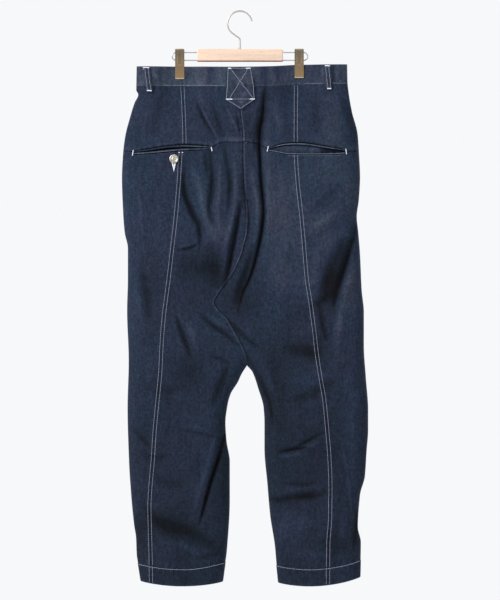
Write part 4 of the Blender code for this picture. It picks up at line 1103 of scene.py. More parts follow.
def band_of(curve, low):
    """Folded edges and the inside leg need the closest points, and seams fewer."""
    folded = curve in FOLDED_EDGES or (curve in MIDDLE_SEAMS and low > CROTCH_DROP)
    return FOLD_BAND if folded else SEAM_BAND


def on_edges(x, level, start, end):
    """Slides each row's points along it until its ends lie on the piece's edges there."""
    share = (x - x[:, :1]) / (x[:, -1:] - x[:, :1])
    rounds = 5
    for _ in range(rounds):
        here = level(x)
        x = mix(start(here), end(here), share)
    return x, level(x)


def rows_of(piece, drop, step, level):
    """The x and the drop of a piece's points, in rows that lie at this level."""
    low = drop.max()
    start, end = (
        functools.partial(boundary, curve, piece.leg) for curve in (piece.start, piece.end)
    )
    x = spread(start(drop), end(drop), step, band_of(piece.start, low), band_of(piece.end, low))
    return on_edges(x, level, start, end)


def long_panel(name, piece, face, first, top):
    """A leg panel whose rows follow the seam above and the hem below and are level between."""
    step = bpy.context.scene.jeans_cloth.mesh_step * (1.0 if face == BACK else 1.25)
    follow = 0.150
    last = HEMS[LEFT].left_end - HEM_HEIGHT
    drop = spread(first, last, step, SEAM_BAND, SEAM_BAND)[0]
    nominal = drop[:, None]
    near_top = 1 - smoothstep(first, first + follow, nominal)
    near_hem = smoothstep(last - follow, last, nominal)

    def level(x):
        hem = near_hem * (hem_top(x, piece.leg) - SEAM_GAP / 2 - last)
        return nominal + near_top * (top(x) - first) + hem

    x, here = rows_of(piece, drop, step, level)
    outer, normals = on_cloth(x, here, face)
    cloth(name, outer, normals, DENIM, face, wear_and_shade_of(x, here, face))


class JEANS_OT_back_panels(Step, bpy.types.Operator):
    """Cuts the four back leg panels, from the pocket line down to the hems"""

    bl_idname = "jeans.back_panels"
    bl_label = "Back panels"

    def make(self):
        for piece in BACK_PIECES:
            long_panel(f"back_{piece.name}", piece, BACK, YOKE_DROP, panel_top)


class JEANS_OT_front_panels(Step, bpy.types.Operator):
    """Cuts the two front leg panels, from the waistband down to the hems"""

    bl_idname = "jeans.front_panels"
    bl_label = "Front panels"

    def make(self):
        for piece in FRONT_PIECES:
            name = f"front_{piece.name}"
            long_panel(name, piece, FRONT, WAISTBAND_HEIGHT, waistband_foot)


class JEANS_OT_yokes(Step, bpy.types.Operator):
    """Cuts the four yoke pieces between the waistband and the pocket line"""

    bl_idname = "jeans.yokes"
    bl_label = "Yokes"

    def make(self):
        step = bpy.context.scene.jeans_cloth.mesh_step
        for piece in BACK_PIECES:
            drop = spread(WAISTBAND_HEIGHT, YOKE_DROP, step, SEAM_BAND, SEAM_BAND)[0]
            share = shares(drop)

            def level(x):
                return mix(waistband_foot(x) + SEAM_GAP / 2, yoke_foot(x), share)

            x, here = rows_of(piece, drop, step, level)
            outer, normals = on_cloth(x, here, BACK)
            over_pocket = sum(pocket_swing(pocket, x) for pocket in POCKETS)
            # Painted shade: a dark line at the yoke's foot over each pocket, in the ditch above the
            # upper welt
            wear_and_painted_light = wear_and_shade_of(x, here, BACK) - 0.45 * over_pocket * bell(here - yoke_foot(x), 0.0016)
            name = f"yoke_{piece.name}"
            cloth(name, outer, normals, DENIM, BACK, wear_and_painted_light)


class JEANS_OT_waistband(Step, bpy.types.Operator):
    """Makes the folded waistband: one piece behind, and two in front that meet at the fly"""

    bl_idname = "jeans.waistband"
    bl_label = "Waistband"

    def make(self):
        step = bpy.context.scene.jeans_cloth.mesh_step

        def at_fly(drop):
            return np.full(drop.shape, centre_front(0.0))

        drop = spread(0.0, WAISTBAND_HEIGHT, step, TURN_BAND, TURN_BAND)[0]
        share = shares(drop)

        def level(x):
            return mix(waist_line(x), waistband_foot(x) - SEAM_GAP / 2, share)

        for name, face, start, end in (
            ("waistband_back", BACK, left_edge, right_edge),
            ("waistband_front_left", FRONT, left_edge, at_fly),
            ("waistband_front_right", FRONT, at_fly, right_edge),
        ):
            first, last = (SEAM_BAND if side == at_fly else FOLD_BAND for side in (start, end))
            x = spread(start(drop), end(drop), step * 0.8, first, last)
            x, here = on_edges(x, level, start, end)
            outer, normals = on_cloth(x, here, face)
            rounding = 0.0009 * (1 - smoothstep(0.0, 0.0016, drop))[:, None]
            rounding = rounding + 0.0005 * smoothstep(-0.0012, 0.0, drop - drop[-1])[:, None]
            square = np.abs(normals[..., 1])
            outer[..., 1] += face * (WAISTBAND_PROUD - rounding) * square
            inward = unit(normals * np.array([1.0, 1.0, 0.0]))
            edge = np.minimum(drop - drop[0], drop[-1] - drop)[:, None]
            # Paler overall and along both edges; the ripples get painted highlight on their crests
            # and painted shade in their hollows
            wear_and_painted_light = wear_and_shade_of(x, here, face) + 0.30 - 0.10 * smoothstep(-0.02, 0.03, x)
            wear_and_painted_light = wear_and_painted_light + 0.25 * bell(edge, 0.0016) + 300 * ripples(x, here, face)
            cloth(name, outer, inward, WAISTBAND_CLOTH, face, wear_and_painted_light)


class JEANS_OT_hems(Step, bpy.types.Operator):
    """Turns up the hem at the foot of each leg, open all round"""

    bl_idname = "jeans.hems"
    bl_label = "Hems"

    def make(self):
        step = bpy.context.scene.jeans_cloth.mesh_step * 0.8
        low = HEMS[LEFT].left_end
        for leg, (first, last) in LEG_SIDES.items():
            drop = spread(low - HEM_HEIGHT, low, step, TURN_BAND, TURN_BAND)[0]
            share = shares(drop)

            def level(x):
                return mix(hem_top(x, leg) + SEAM_GAP / 2, hem_foot(x, leg), share)

            across = spread(first(drop), last(drop), step, FOLD_BAND, FOLD_BAND)
            across, _ = on_edges(across, level, first, last)
            proud = 0.0006 - 0.0007 * (1 - smoothstep(0.0, 0.0012, drop - drop[0]))
            proud = proud - 0.0009 * smoothstep(-0.0014, 0.0, drop - drop[-1])
            sides = []
            for face, x in ((BACK, across), (FRONT, across[:, -2:0:-1])):
                here = level(x)
                outer, normals = on_cloth(x, here, face, proud[:, None])
                edge = np.minimum(share, 1 - share) * HEM_HEIGHT
                darker = 0.05 if leg == LEFT else 0.0
                wear_and_painted_light = wear_and_shade_of(x, here, face) - darker + 0.24 * bell(edge, 0.0018)
                sides.append((outer, normals, wear_and_painted_light))
            outer, normals, wear_and_painted_light = (np.concatenate(part, axis=1) for part in zip(*sides))
            cloth(f"hem_{leg}", outer, normals, HEM_CLOTH, BACK, wear_and_painted_light, ring=True)


class JEANS_OT_pockets(Step, bpy.types.Operator):
    """Sets in the two welt pockets: narrow welts on both lips, and the facing in the mouth"""

    bl_idname = "jeans.pockets"
    bl_label = "Welt pockets"

    def make(self):
        for pocket in POCKETS:
            x = spread(pocket.start, pocket.end, 0.0022, SEAM_BAND, SEAM_BAND)
            for which in ("upper", "lower"):
                self.welt(pocket, x, which)
            self.facing(pocket, x)

    def welt(self, pocket, x, which):
        """One folded strip: sunk in the ditch, it swells to a fold that rolls in over the lip."""
        ditch = across_pocket(pocket, f"{which}_ditch", x)
        lip = across_pocket(pocket, f"{which}_lip", x)
        if which == "upper":
            ditch = ditch - DITCH * pocket_swing(pocket, x)
        share = np.array([-0.35, 0.0, 0.30, 0.42, 0.58, 0.76, 0.92, 1.0, 1.02])[:, None]
        rise = np.array([-3.4, -3.2, -2.6, -0.2, 0.55, 0.55, 0.10, -1.1, -2.6])[:, None]
        if which == "lower":
            share, rise = share[::-1], rise[::-1]
        here = ditch + (lip - ditch) * share
        lift = WELT_CLOTH * 0.5 + rise * 0.0007
        outer, normals = on_cloth(x, here, BACK, lift)
        # Painted shade where the strip sinks into the ditch, and paler on the roll
        wear_and_painted_light = 0.86 * smoothstep(-2.2, 0.5, rise) + 0.10 * noise(x / 0.008, share, 52)
        if pocket.side == LEFT and which == "upper":
            wear_and_painted_light = wear_and_painted_light * mix(0.62, 0.9, smoothstep(-0.120, -0.090, x))
        name = f"welt_{pocket.side}_{which}"
        cloth(name, outer, normals, WELT_CLOTH * 0.7, BACK, wear_and_painted_light)

    def facing(self, pocket, x):
        """The strip of denim inside the mouth, which hangs back where the mouth stays open."""
        share = np.linspace(0, 1, 27)[:, None]
        top, foot = (across_pocket(pocket, f"{which}_lip", x) for which in ("upper", "lower"))
        here = mix(top - 0.014, foot + 0.020, share)
        within = smoothstep(top, top + 0.004, here) * smoothstep(foot, foot - 0.004, here)
        sunk = 0.60 * smoothstep(0.152, 0.166, x) if pocket.side == RIGHT else 0.85
        back = DENIM + 0.0012 + 0.0075 * sunk * (0.35 + 0.65 * np.sin(math.pi * share))
        back = back - 0.0012 * within * (1 - sunk)
        outer, normals = on_cloth(x, here, BACK, -back)
        # Painted shade: darker where the facing hangs back and just under the upper lip
        wear_and_painted_light = (0.66 - 0.80 * sunk) * smoothstep(top, top + 0.0035, here)
        if pocket.side == RIGHT:
            wear_and_painted_light = wear_and_painted_light + 0.40 * smoothstep(0.160, 0.168, x) * bell(here - foot + 0.0014, 0.0012)
        wear_and_painted_light = wear_and_painted_light + 0.08 * noise(x / 0.010, share * 3, 51)
        name = f"facing_{pocket.side}"
        cloth(name, outer, normals, 0.0008, BACK, wear_and_painted_light)


def bow(height, share):
    """How far a strip that is tacked at both ends stands off between them."""
    return height * np.sin(math.pi * np.clip(share, 0, 1)) ** 0.5


def loop_place(loop, share, side, lift):
    """A place on a belt loop: share down its length, side from -1 to 1 across it."""
    crown = 0.0005 * (1 - side**2)
    out = WAISTBAND_PROUD + LOOP_CLOTH + bow(LOOP_BOW, share) + crown + lift
    x = mix(loop.top_x, loop.bottom_x, share) + side * LOOP_WIDTH / 2
    drop = waist_line(x) + mix(LOOP_START_DROP, LOOP_END_DROP, share)
    return on_cloth(x, drop, loop.face, out)


class JEANS_OT_belt_loops(Step, bpy.types.Operator):
    """Folds the four belt loops, bowed a little off the waistband and tacked at both ends"""

    bl_idname = "jeans.belt_loops"
    bl_label = "Belt loops"

    def make(self):
        for loop in BELT_LOOPS:
            share = np.linspace(0, 1, 32)[:, None]
            side = np.array([-1, -0.94, -0.8, -0.55, -0.25, 0, 0.25, 0.55, 0.8, 0.94, 1])
            turn_under = -0.0006 * smoothstep(0.86, 1.0, np.abs(side))
            outer, normals = loop_place(loop, share, side, turn_under)
            wear_and_painted_light = 0.55 + 0.35 * smoothstep(0.6, 0.95, np.abs(side))
            cloth(loop.name, outer, normals, LOOP_CLOTH, loop.face, wear_and_painted_light)


def patch_shape(share):
    """Centre x, half width and drop of the centre loop, this share of the way to its tip."""
    drop = mix(PATCH_TOP_DROP, PATCH_TIP_DROP, share)
    down = np.clip((drop - PATCH_TOP_DROP) / (PATCH_FOOT_DROP - PATCH_TOP_DROP), 0, 1)
    past = np.clip((drop - PATCH_FOOT_DROP) / (PATCH_TIP_DROP - PATCH_FOOT_DROP), 0, 1)
    half = mix(PATCH_TOP_WIDTH, PATCH_FOOT_WIDTH, down) / 2 * (1 - past * 0.985)
    return mix(PATCH_TOP_X, PATCH_TIP_X, share), half, drop


def on_patch(share, side, lift):
    """Points on the centre loop, side from -1 to 1 across it."""
    middle, half, drop = patch_shape(share)
    x = middle + side * half
    down = (drop - PATCH_TOP_DROP) / (PATCH_FOOT_DROP - PATCH_TOP_DROP)
    out = WAISTBAND_PROUD + PATCH_CLOTH + bow(PATCH_BOW, down) + lift
    return on_cloth(x, drop + waist_line(x), BACK, out)


class JEANS_OT_centre_loop(Step, bpy.types.Operator):
    """Makes the wide five-sided loop at the centre back"""

    bl_idname = "jeans.centre_loop"
    bl_label = "Centre loop"

    def make(self):
        foot = PATCH_FOOT_SHARE
        share = np.concatenate([np.linspace(0, foot, 30), np.linspace(foot, 1, 12)[1:]])[:, None]
        side = np.sin(np.linspace(-1, 1, 25) * math.pi / 2)[None, :]
        edge = smoothstep(0.90, 1.0, np.abs(side)) + smoothstep(0.03, 0.0, share)
        lift = -0.0008 * edge + 0.00025 * noise(side * 4, share * 5, 61)
        outer, normals = on_patch(share, side, lift)
        wear_and_painted_light = 0.66 + 0.26 * edge + 0.16 * noise(side * 3, share * 6, 62)
        name = "centre_back_loop"
        cloth(name, outer, normals, PATCH_CLOTH, BACK, wear_and_painted_light)


class JEANS_OT_fly(Step, bpy.types.Operator):
    """Lays the fly's facing on the front, square at the waistband and rounded at its foot"""

    bl_idname = "jeans.fly"
    bl_label = "Fly"

    def make(self):
        share = spread(0.0, 1.0, 0.016, SEAM_BAND * 4, SEAM_BAND * 4)[0][:, None]
        side = spread(0.0, 1.0, 0.08, SEAM_BAND * 10, SEAM_BAND * 10)
        drop = mix(WAISTBAND_HEIGHT + 0.0008, FLY_END_DROP, share)
        round_off = np.clip((share - 0.7) / 0.3, 0.0, 1.0)
        width = FLY_WIDTH * np.maximum(np.sqrt(1 - round_off**2), 0.04)
        x = centre_front(drop) - 0.001 - width * (1 - side)
        edge = smoothstep(0.08, 0.0, side) + smoothstep(0.97, 1.0, share)
        lift = 0.0013 - 0.0007 * edge
        x, drop = np.broadcast_arrays(x, drop)
        outer, normals = on_cloth(x, drop, FRONT, lift)
        wear_and_painted_light = wear_and_shade_of(x, drop, FRONT) + 0.2 * edge
        cloth("fly", outer, normals, 0.0012, FRONT, wear_and_painted_light)


# A stitch's rings: the place along it as a share of its length, then its thickness and its
# height as shares of half the thread's width
STITCH_RINGS = (
    (-0.5, 0.34, -0.40), (-0.45, 0.84, -0.04), (-0.24, 1.0, 0.12),
    (0.24, 1.0, 0.12), (0.45, 0.84, -0.04), (0.5, 0.34, -0.40),
)
STITCH_SIDES = 6


def sewn(name, runs, material, node=None):
    """One mesh of short rounded stitches along runs of points with normals.

    Each run is points, normals, stitch pitch, stitch length and thread width.
    """
    lengthways, thickness, height = np.array(STITCH_RINGS).T
    angles = np.linspace(0, 2 * math.pi, STITCH_SIDES, endpoint=False)
    index = np.arange(len(STITCH_RINGS) * STITCH_SIDES).reshape(-1, STITCH_SIDES)
    after = np.roll(index, -1, axis=1)
    sides = np.stack([index[:-1], after[:-1], after[1:], index[1:]], -1).reshape(-1, 4)
    caps = (index[0, ::-1], index[-1])
    points_out, faces_out = [], []
    base = 0
    for points, normals, pitch, length, width in runs:
        way = travelled(points)
        count = max(1, int(way[-1] / pitch))
        centres = (np.arange(count) + 0.5) * way[-1] / count

        def at(places, values):
            return np.stack([np.interp(places, way, values[:, k]) for k in range(3)], -1)

        centre, up = at(centres, points), at(centres, normals)
        tangent = unit(at(centres + length / 2, points) - at(centres - length / 2, points))
        up = unit(up - tangent * (up * tangent).sum(1, keepdims=True))
        aside = np.cross(tangent, up)
        jitter = np.random.default_rng(count).uniform(-1, 1, (count, 3))
        half = width * (1 + 0.08 * jitter[:, 0])[:, None, None] / 2
        along_it = length * (1 + 0.07 * jitter[:, 1])[:, None] * lengthways
        skew = 0.05 * jitter[:, 2][:, None] * along_it
        across = half * thickness[:, None] * np.cos(angles) + skew[:, :, None]
        lift = half * (thickness[:, None] * np.sin(angles) * 0.8 + height[:, None] + 0.35)
        parts = ((along_it[:, :, None], tangent), (across, aside), (lift, up))
        body = centre[:, None, None] + sum(
            reach[..., None] * direction[:, None, None] for reach, direction in parts
        )
        points_out.append(body.reshape(-1, 3))
        for start in base + np.arange(count) * index.size:
            faces_out += (sides + start).tolist() + [(cap + start).tolist() for cap in caps]
        base += count * index.size
    mesh = bpy.data.meshes.new(name)
    mesh.from_pydata(np.concatenate(points_out).tolist(), [], faces_out)
    mesh.shade_smooth()
    dress(bpy.data.objects.new(name, mesh), material, node, "white_thread")


def run_of(points, normals, scale=1.0, closer=1.0):
    """A run of stitches along points, with its thread this much wider and its stitches closer."""
    threads = bpy.context.scene.jeans_thread
    pitch, stitch = threads.pitch * closer, threads.stitch * closer
    return points, normals, pitch, stitch, threads.width * scale


def row_on_cloth(x, drop, face, lift, scale=1.0):
    """A run of stitches along places on the cloth."""
    return run_of(*on_cloth(x, drop, face, lift), scale)


def bartack(points, normals, width):
    """A dense satin bar between two points: short stitches laid across the line between them."""
    start, end, up = points[0], points[1], normals[0]
    reach = np.linalg.norm(end - start)
    along_bar = (end - start) / reach
    across = np.cross(along_bar, up)
    rows = []
    wraps = max(5, int(reach / SATIN_PITCH))
    for k in range(wraps):
        middle = start + along_bar * reach * (k + 0.5) / wraps
        half = across * width / 2 + along_bar * 0.12 * width * (1 if k % 2 else -1)
        ends = np.stack([middle - half, middle + half])
        rows.append((ends, np.stack([up, up]), width * 2, width, SATIN_WIDTH))
    return rows


class JEANS_OT_topstitching(Step, bpy.types.Operator):
    """Sews the visible rows of topstitching and the bartacks, in pale thread"""

    bl_idname = "jeans.topstitching"
    bl_label = "Topstitching"

    def make(self):
        for name, rows in (
            ("panel_seams", self.panel_rows), ("waistband", self.waistband_rows),
            ("hems", self.hem_rows), ("pockets", self.pocket_rows), ("loops", self.loop_rows),
            ("centre_loop", self.patch_rows), ("fly", self.fly_rows),
        ):
            sewn(f"stitches_{name}", rows(), thread())
        for name, rows in (
            ("pockets", self.pocket_bars), ("loops", self.loop_bars),
            ("centre_loop", self.patch_bars),
        ):
            sewn(f"bartacks_{name}", rows(), tack_thread())

    def panel_rows(self):
        """The two rows beside each long seam of the back, above and below the pocket."""
        half = bpy.context.scene.jeans_thread.row_gap / 2
        rows = []
        for seam, leg, pocket in (
            (left_panel_seam, LEFT, POCKETS[0]), (right_panel_seam, RIGHT, POCKETS[1]),
        ):
            x_top, x_low = seam(0.148), seam(0.168)
            end = across_pocket(pocket, "upper_ditch", x_top) - 0.0015
            start = across_pocket(pocket, "lower_ditch", x_low) + 0.0016
            foot = hem_top(seam(0.95), leg) - 0.0012
            upper = np.arange(waistband_foot(x_top) + 0.0015, end, MM)
            lower = np.arange(start, foot, MM)
            on_hem = np.arange(foot + 0.0022, hem_foot(seam(0.98), leg) - 0.0008, MM)
            for side in (-half, half):
                rows.append(row_on_cloth(seam(on_hem) + side, on_hem, BACK, 0.0007, 0.82))
                rows.append(row_on_cloth(seam(upper) + side, upper, BACK, 0.0, 0.78))
                rows.append(row_on_cloth(seam(lower) + side, lower, BACK, 0.0, 0.82))
        return rows

    def waistband_rows(self):
        """One row just above the waistband's foot. Behind, it shows in three runs."""
        rows = []
        lift = WAISTBAND_PROUD + 0.0001
        for face, first, last in (
            (BACK, -0.1480, -0.0290), (BACK, 0.1240, 0.1600), (BACK, 0.1760, 0.2030),
            (FRONT, -0.1955, 0.2030),
        ):
            x = np.arange(first, last, MM)
            scale = 0.62 if first < 0 else 0.50
            rows.append(row_on_cloth(x, waistband_foot(x) - 0.0018, face, lift, scale))
        return rows

    def hem_rows(self):
        """One row round each leg, just below the hem's upper edge."""
        rows = []
        for leg, (first, last) in LEG_SIDES.items():
            start, end = first(HEM_ROW_DROP) + 0.0012, last(HEM_ROW_DROP) - 0.0012
            x = np.arange(start, end, MM)
            for face in (BACK, FRONT):
                rows.append(row_on_cloth(x, hem_top(x, leg) + 0.0017, face, 0.0007, 0.94))
        return rows

    def pocket_rows(self):
        """The rows along the welts, a faint one below the right pocket, and the seat seam's."""
        rows = []
        on_welt = WELT_CLOTH * 0.5 + 0.0003
        left, right = POCKETS
        for pocket, which, share, first, last, scale in (
            (left, "lower", 0.50, 0.004, 0.110, 0.36), (left, "upper", 0.50, 0.092, 0.149, 0.26),
            (right, "upper", 0.55, 0.018, 0.072, 0.60), (right, "upper", 0.55, 0.074, 0.128, 0.36),
            (right, "lower", 0.50, 0.003, 0.148, 0.60),
        ):
            x = np.arange(pocket.start + first, pocket.start + last, MM)
            ditch, lip = (across_pocket(pocket, f"{which}_{line}", x) for line in ("ditch", "lip"))
            rows.append(row_on_cloth(x, mix(ditch, lip, share), BACK, on_welt, scale))
        x = np.arange(0.0920, 0.1990, MM)
        drop = across_pocket(right, "lower_ditch", x) + 0.0022
        rows.append(row_on_cloth(x, drop, BACK, -0.00012, 0.42))
        x = np.arange(0.008, 0.016, MM)
        rows.append(row_on_cloth(x, yoke_seam(x) + 0.0012, BACK, 0.0, 0.6))
        return rows

    def pocket_bars(self):
        """The bartack at each end of each pocket, and where the left seam's rows start below it."""
        rows = []
        for top_x, top, foot_x, foot in (
            (-0.2035, 0.1622, -0.2052, 0.1725), (-0.0545, 0.1556, -0.0528, 0.1638),
            (0.0540, 0.1548, 0.0520, 0.1648), (0.2022, 0.1599, 0.2034, 0.1698),
        ):
            rows += bartack(*on_cloth((top_x, foot_x), (top, foot), BACK, 0.0014), 0.0018)
        half = bpy.context.scene.jeans_thread.row_gap / 2
        start = across_pocket(POCKETS[0], "lower_ditch", -0.113) + 0.0024
        for side in (-half, half):
            x = left_panel_seam(start) + side + np.array([-0.0012, 0.0012])
            rows += bartack(*on_cloth(x, start, BACK, 0.0001), 0.0013)
        return rows

    def loop_rows(self):
        """Two rows down each belt loop."""
        share = np.linspace(0.03, 0.97, 60)
        return [
            run_of(*loop_place(loop, share, side, 0.0001), 0.9)
            for loop in BELT_LOOPS for side in (-0.52, 0.52)
        ]

    def loop_bars(self):
        """A bar across each end of each belt loop, and loose thread at the top left one."""
        rows = []
        for loop in BELT_LOOPS:
            for end, reach in ((0.035, 0.9), (0.935, 0.74)):
                pair = np.array([end, end + 0.01])
                sides = np.array([-reach, reach])
                rows += bartack(*loop_place(loop, pair, sides, 0.0004), 0.0024)
        strays = ((-0.1860, 0.0030, -0.1795, 0.0062), (-0.1852, 0.0070, -0.1790, 0.0035),
                  (-0.1838, 0.0020, -0.1822, 0.0078))
        for x_a, drop_a, x_b, drop_b in strays:
            points, normals = on_cloth((x_a, x_b), (drop_a, drop_b), BACK, 0.0032)
            rows.append((points, normals, 0.02, travelled(points)[-1], 0.0007))
        return rows

    def patch_rows(self):
        """The centre loop's edge rows and its crossed rows."""
        foot, inset = PATCH_FOOT_SHARE, 0.95
        corners = {
            "top_left": (0.004, -inset), "top_right": (0.004, inset),
            "foot_left": (foot, -inset), "foot_right": (foot, inset),
            "cross_top_left": (0.008, -0.76), "cross_top_right": (0.008, 0.76),
            "cross_foot_left": (foot - 0.03, -0.70), "cross_foot_right": (foot - 0.008, 0.90),
        }

        def line(first, last):
            """A straight run between two places, each the share down and the side."""
            share = np.linspace(first[0], last[0], 50)
            (middle_a, half_a, _), (middle_b, half_b, _) = map(patch_shape, (first[0], last[0]))
            ends = middle_a + first[1] * half_a, middle_b + last[1] * half_b
            middle, half, _ = patch_shape(share)
            x = np.linspace(*ends, 50)
            return run_of(*on_patch(share, (x - middle) / half, 0.0001), 1.08, 0.8)

        tip = (0.975, 0.0)
        pairs = (
            ("cross_top_left", "cross_foot_right"), ("cross_top_right", "cross_foot_left"),
            ("foot_left", "foot_right"),
            ("top_left", "foot_left"), ("top_right", "foot_right"), ("top_left", "top_right"),
        )
        rows = [line(corners[a], corners[b]) for a, b in pairs]
        rows += [line(corners["foot_left"], tip), line(corners["foot_right"], tip)]
        return rows

    def patch_bars(self):
        """The four bars of the centre loop: each share down, side, and length inward."""
        rows = []
        for share, side, length in (
            (0.006, -0.97, 0.0068), (0.006, 0.97, 0.0095),
            (PATCH_FOOT_SHARE, -0.97, 0.0120), (PATCH_FOOT_SHARE, 0.97, 0.0090),
        ):
            _, half, _ = patch_shape(share)
            far = side - math.copysign(length / half, side)
            rows += bartack(*on_patch(share, np.array([side, far]), 0.0003), 0.0022)
        return rows

    def fly_rows(self):
        """The fly's curved double row, in front."""
        rows = []
        for inset in (0.003, 0.0095):
            drop = np.arange(WAISTBAND_HEIGHT + 0.002, FLY_END_DROP - inset, MM)
            share = (drop - WAISTBAND_HEIGHT) / (FLY_END_DROP - inset - WAISTBAND_HEIGHT)
            round_off = np.clip((share - 0.7) / 0.3, 0.0, 0.995)
            width = (FLY_WIDTH - inset) * np.sqrt(1 - round_off**2)
            rows.append(row_on_cloth(centre_front(drop) - 0.001 - width, drop, FRONT, 0.0014))
        return rows


def turned(name, profile, steps, point, direction, material, slot, node=None):
    """A shape turned about an axis through a point, from a profile of radius and height."""
    mesh = bpy.data.meshes.new(name)
    places = [(radius, 0.0, height) for radius, height in profile]
    mesh.from_pydata(places, [(i, i + 1) for i in range(len(places) - 1)], [])
    made = bpy.data.objects.new(name, mesh)
    screw = made.modifiers.new("turn", "SCREW")
    screw.steps = screw.render_steps = steps
    screw.use_merge_vertices = True
    screw.merge_threshold = 1e-6
    screw.use_normal_calculate = True
    screw.use_smooth_shade = True
    turn = Vector((0, 0, 1)).rotation_difference(Vector(direction))
    made.matrix_world = Matrix.Translation(Vector(point)) @ turn.to_matrix().to_4x4()
    dress(made, material, node, slot)


def rounded_profile(corners, segments=4):
    """A profile whose corners are (radius, height, rounding), with the rounded ones as arcs."""
    places = []
    for i, (radius, height, rounding) in enumerate(corners):
        here = Vector((radius, height))
        if not rounding:
            places.append(here)
            continue
        before, after = Vector(corners[i - 1][:2]), Vector(corners[i + 1][:2])
        start = here + (before - here).normalized() * rounding
        end = here + (after - here).normalized() * rounding
        places += rounded_bend(start, here, end, segments)
    return [tuple(place) for place in places]


def shank_button(name, x, drop, face, proud):
    """A domed zinc button: a rolled rim, a stippled ring and a plain raised centre, on a shank."""
    point, normal = on_cloth(np.array(x), np.array(drop), face, proud)
    r, lift = BUTTON_RADIUS, BUTTON_LIFT
    top = lift + 0.0018
    corners = (
        (0.0, top + 0.0003, 0), (r * 0.22, top + 0.0002, 0), (r * 0.34, top - 0.0001, 0.0003),
        (r * 0.40, top - 0.0007, 0.0003), (r * 0.66, top - 0.0008, 0.0003),
        (r * 0.74, top, 0.0004), (r * 0.90, top, 0.0005), (r, top - 0.0008, 0.0005),
        (r * 0.98, lift + 0.0001, 0.0003), (r * 0.86, lift, 0), (SHANK_RADIUS, lift, 0.0003),
        (SHANK_RADIUS * 0.9, 0.0002, 0),
    )
    turned(
        name + "_zinc", rounded_profile(corners), 48, point, normal, button_silver(),
        "button_metal", name,
    )
    beads = bpy.data.meshes.new(name + "_beads")
    points, faces = [], []
    count, bead = BUTTON_BEADS, BUTTON_BEAD_RADIUS
    turn = Vector((0, 0, 1)).rotation_difference(Vector(normal)).to_matrix()
    for k in range(count):
        angle = 2 * math.pi * k / count
        centre = Vector((r * 0.53 * math.cos(angle), r * 0.53 * math.sin(angle), top - 0.0009))
        base = len(points)
        for level, (radius, height) in enumerate(((1.0, 0.0), (0.85, 0.5), (0.5, 0.85))):
            for s in range(8):
                a = 2 * math.pi * s / 8
                offset = Vector((radius * math.cos(a), radius * math.sin(a), height)) * bead
                points.append(Vector(point) + turn @ (centre + offset))
                if level:
                    low = base + (level - 1) * 8
                    high = base + level * 8
                    faces.append((low + s, low + (s + 1) % 8, high + (s + 1) % 8, high + s))
        points.append(Vector(point) + turn @ (centre + Vector((0, 0, bead))))
        tip = len(points) - 1
        faces += [(base + 16 + s, base + 16 + (s + 1) % 8, tip) for s in range(8)]
        faces.append(tuple(base + s for s in range(7, -1, -1)))
    beads.from_pydata(points, [], faces)
    beads.shade_smooth()
    dress(bpy.data.objects.new(name + "_beads", beads), button_silver(), slot="button_metal")


class JEANS_OT_buttons(Step, bpy.types.Operator):
    """Sets the pocket button and the waist button, and binds the pocket's buttonhole"""

    bl_idname = "jeans.buttons"
    bl_label = "Buttons"

    def make(self):
        shank_button("pocket_button", BUTTON_X, BUTTON_DROP, BACK, 0.0002)
        shank_button("waist_button", WAIST_BUTTON_X, WAIST_BUTTON_DROP, FRONT, WAISTBAND_PROUD)
        self.buttonhole()

    def buttonhole(self):
        """Close radial stitches round the eye and down both lips to the point below it."""
        outline = []
        for angle in np.radians(np.linspace(-36, 216, 60)):
            outline.append((BUTTONHOLE_EYE * math.cos(angle), BUTTONHOLE_EYE * math.sin(angle)))
        foot_x, foot_y = outline[-1]
        for t in np.linspace(0, 1, 40)[1:]:
            outline.append((foot_x * (1 - t), mix(foot_y, -BUTTONHOLE_TAIL, t)))
        for t in np.linspace(1, 0, 40)[1:-1]:
            outline.append((-foot_x * (1 - t), mix(foot_y, -BUTTONHOLE_TAIL, t)))
        outline = np.array(outline + outline[:1])
        along_it = travelled(outline)
        at = np.arange(0, along_it[-1], 0.00055)
        across, up = (np.interp(at, along_it, outline[:, k]) for k in (0, 1))
        ahead_x, ahead_y = (np.interp(at + MM, along_it, outline[:, k]) for k in (0, 1))
        tangent = unit(np.stack([ahead_x - across, ahead_y - up], -1))
        normal_x, normal_y = -tangent[:, 1], tangent[:, 0]
        rows = []
        for k in range(len(at)):
            reach = 0.0014 - 0.0010 * smoothstep(-0.35, -1.0, up[k] / BUTTONHOLE_TAIL)
            ends = np.array([-reach, reach])
            xs = BUTTON_X + across[k] + normal_x[k] * ends
            drops = BUTTON_DROP - up[k] - normal_y[k] * ends
            points, normals = on_cloth(xs, drops, BACK, 0.0006)
            rows.append((points, normals, 0.01, 2 * reach, 0.00075))
        sewn("buttonhole_binding", rows, tack_thread(), "buttonhole")


def wire(name, points, radius, material, slot, node, rounded_ends=False):
    """A round wire through points that are close enough together to look curved."""
    curve = bpy.data.curves.new(name, "CURVE")
    curve.dimensions = "3D"
    curve.bevel_depth = radius
    curve.bevel_resolution = 4
    curve.use_fill_caps = True
    spline = curve.splines.new("POLY")
    spline.points.add(len(points) - 1)
    for spot, point in zip(spline.points, points):
        spot.co = (*point, 1.0)
    if rounded_ends:
        spline.points[-1].radius = 0.45
        spline.points[-2].radius = 0.9
    dress(bpy.data.objects.new(name, curve), material, node, slot)


def in_plane(x, z):
    return Vector((x, 0.0, z))


def arc(x, z, radius, start, end, steps):
    """Places along an arc round a centre, in the hanger's plane."""
    angles = [mix(start, end, k / steps) for k in range(steps + 1)]
    return [in_plane(x + radius * math.cos(a), z + radius * math.sin(a)) for a in angles]


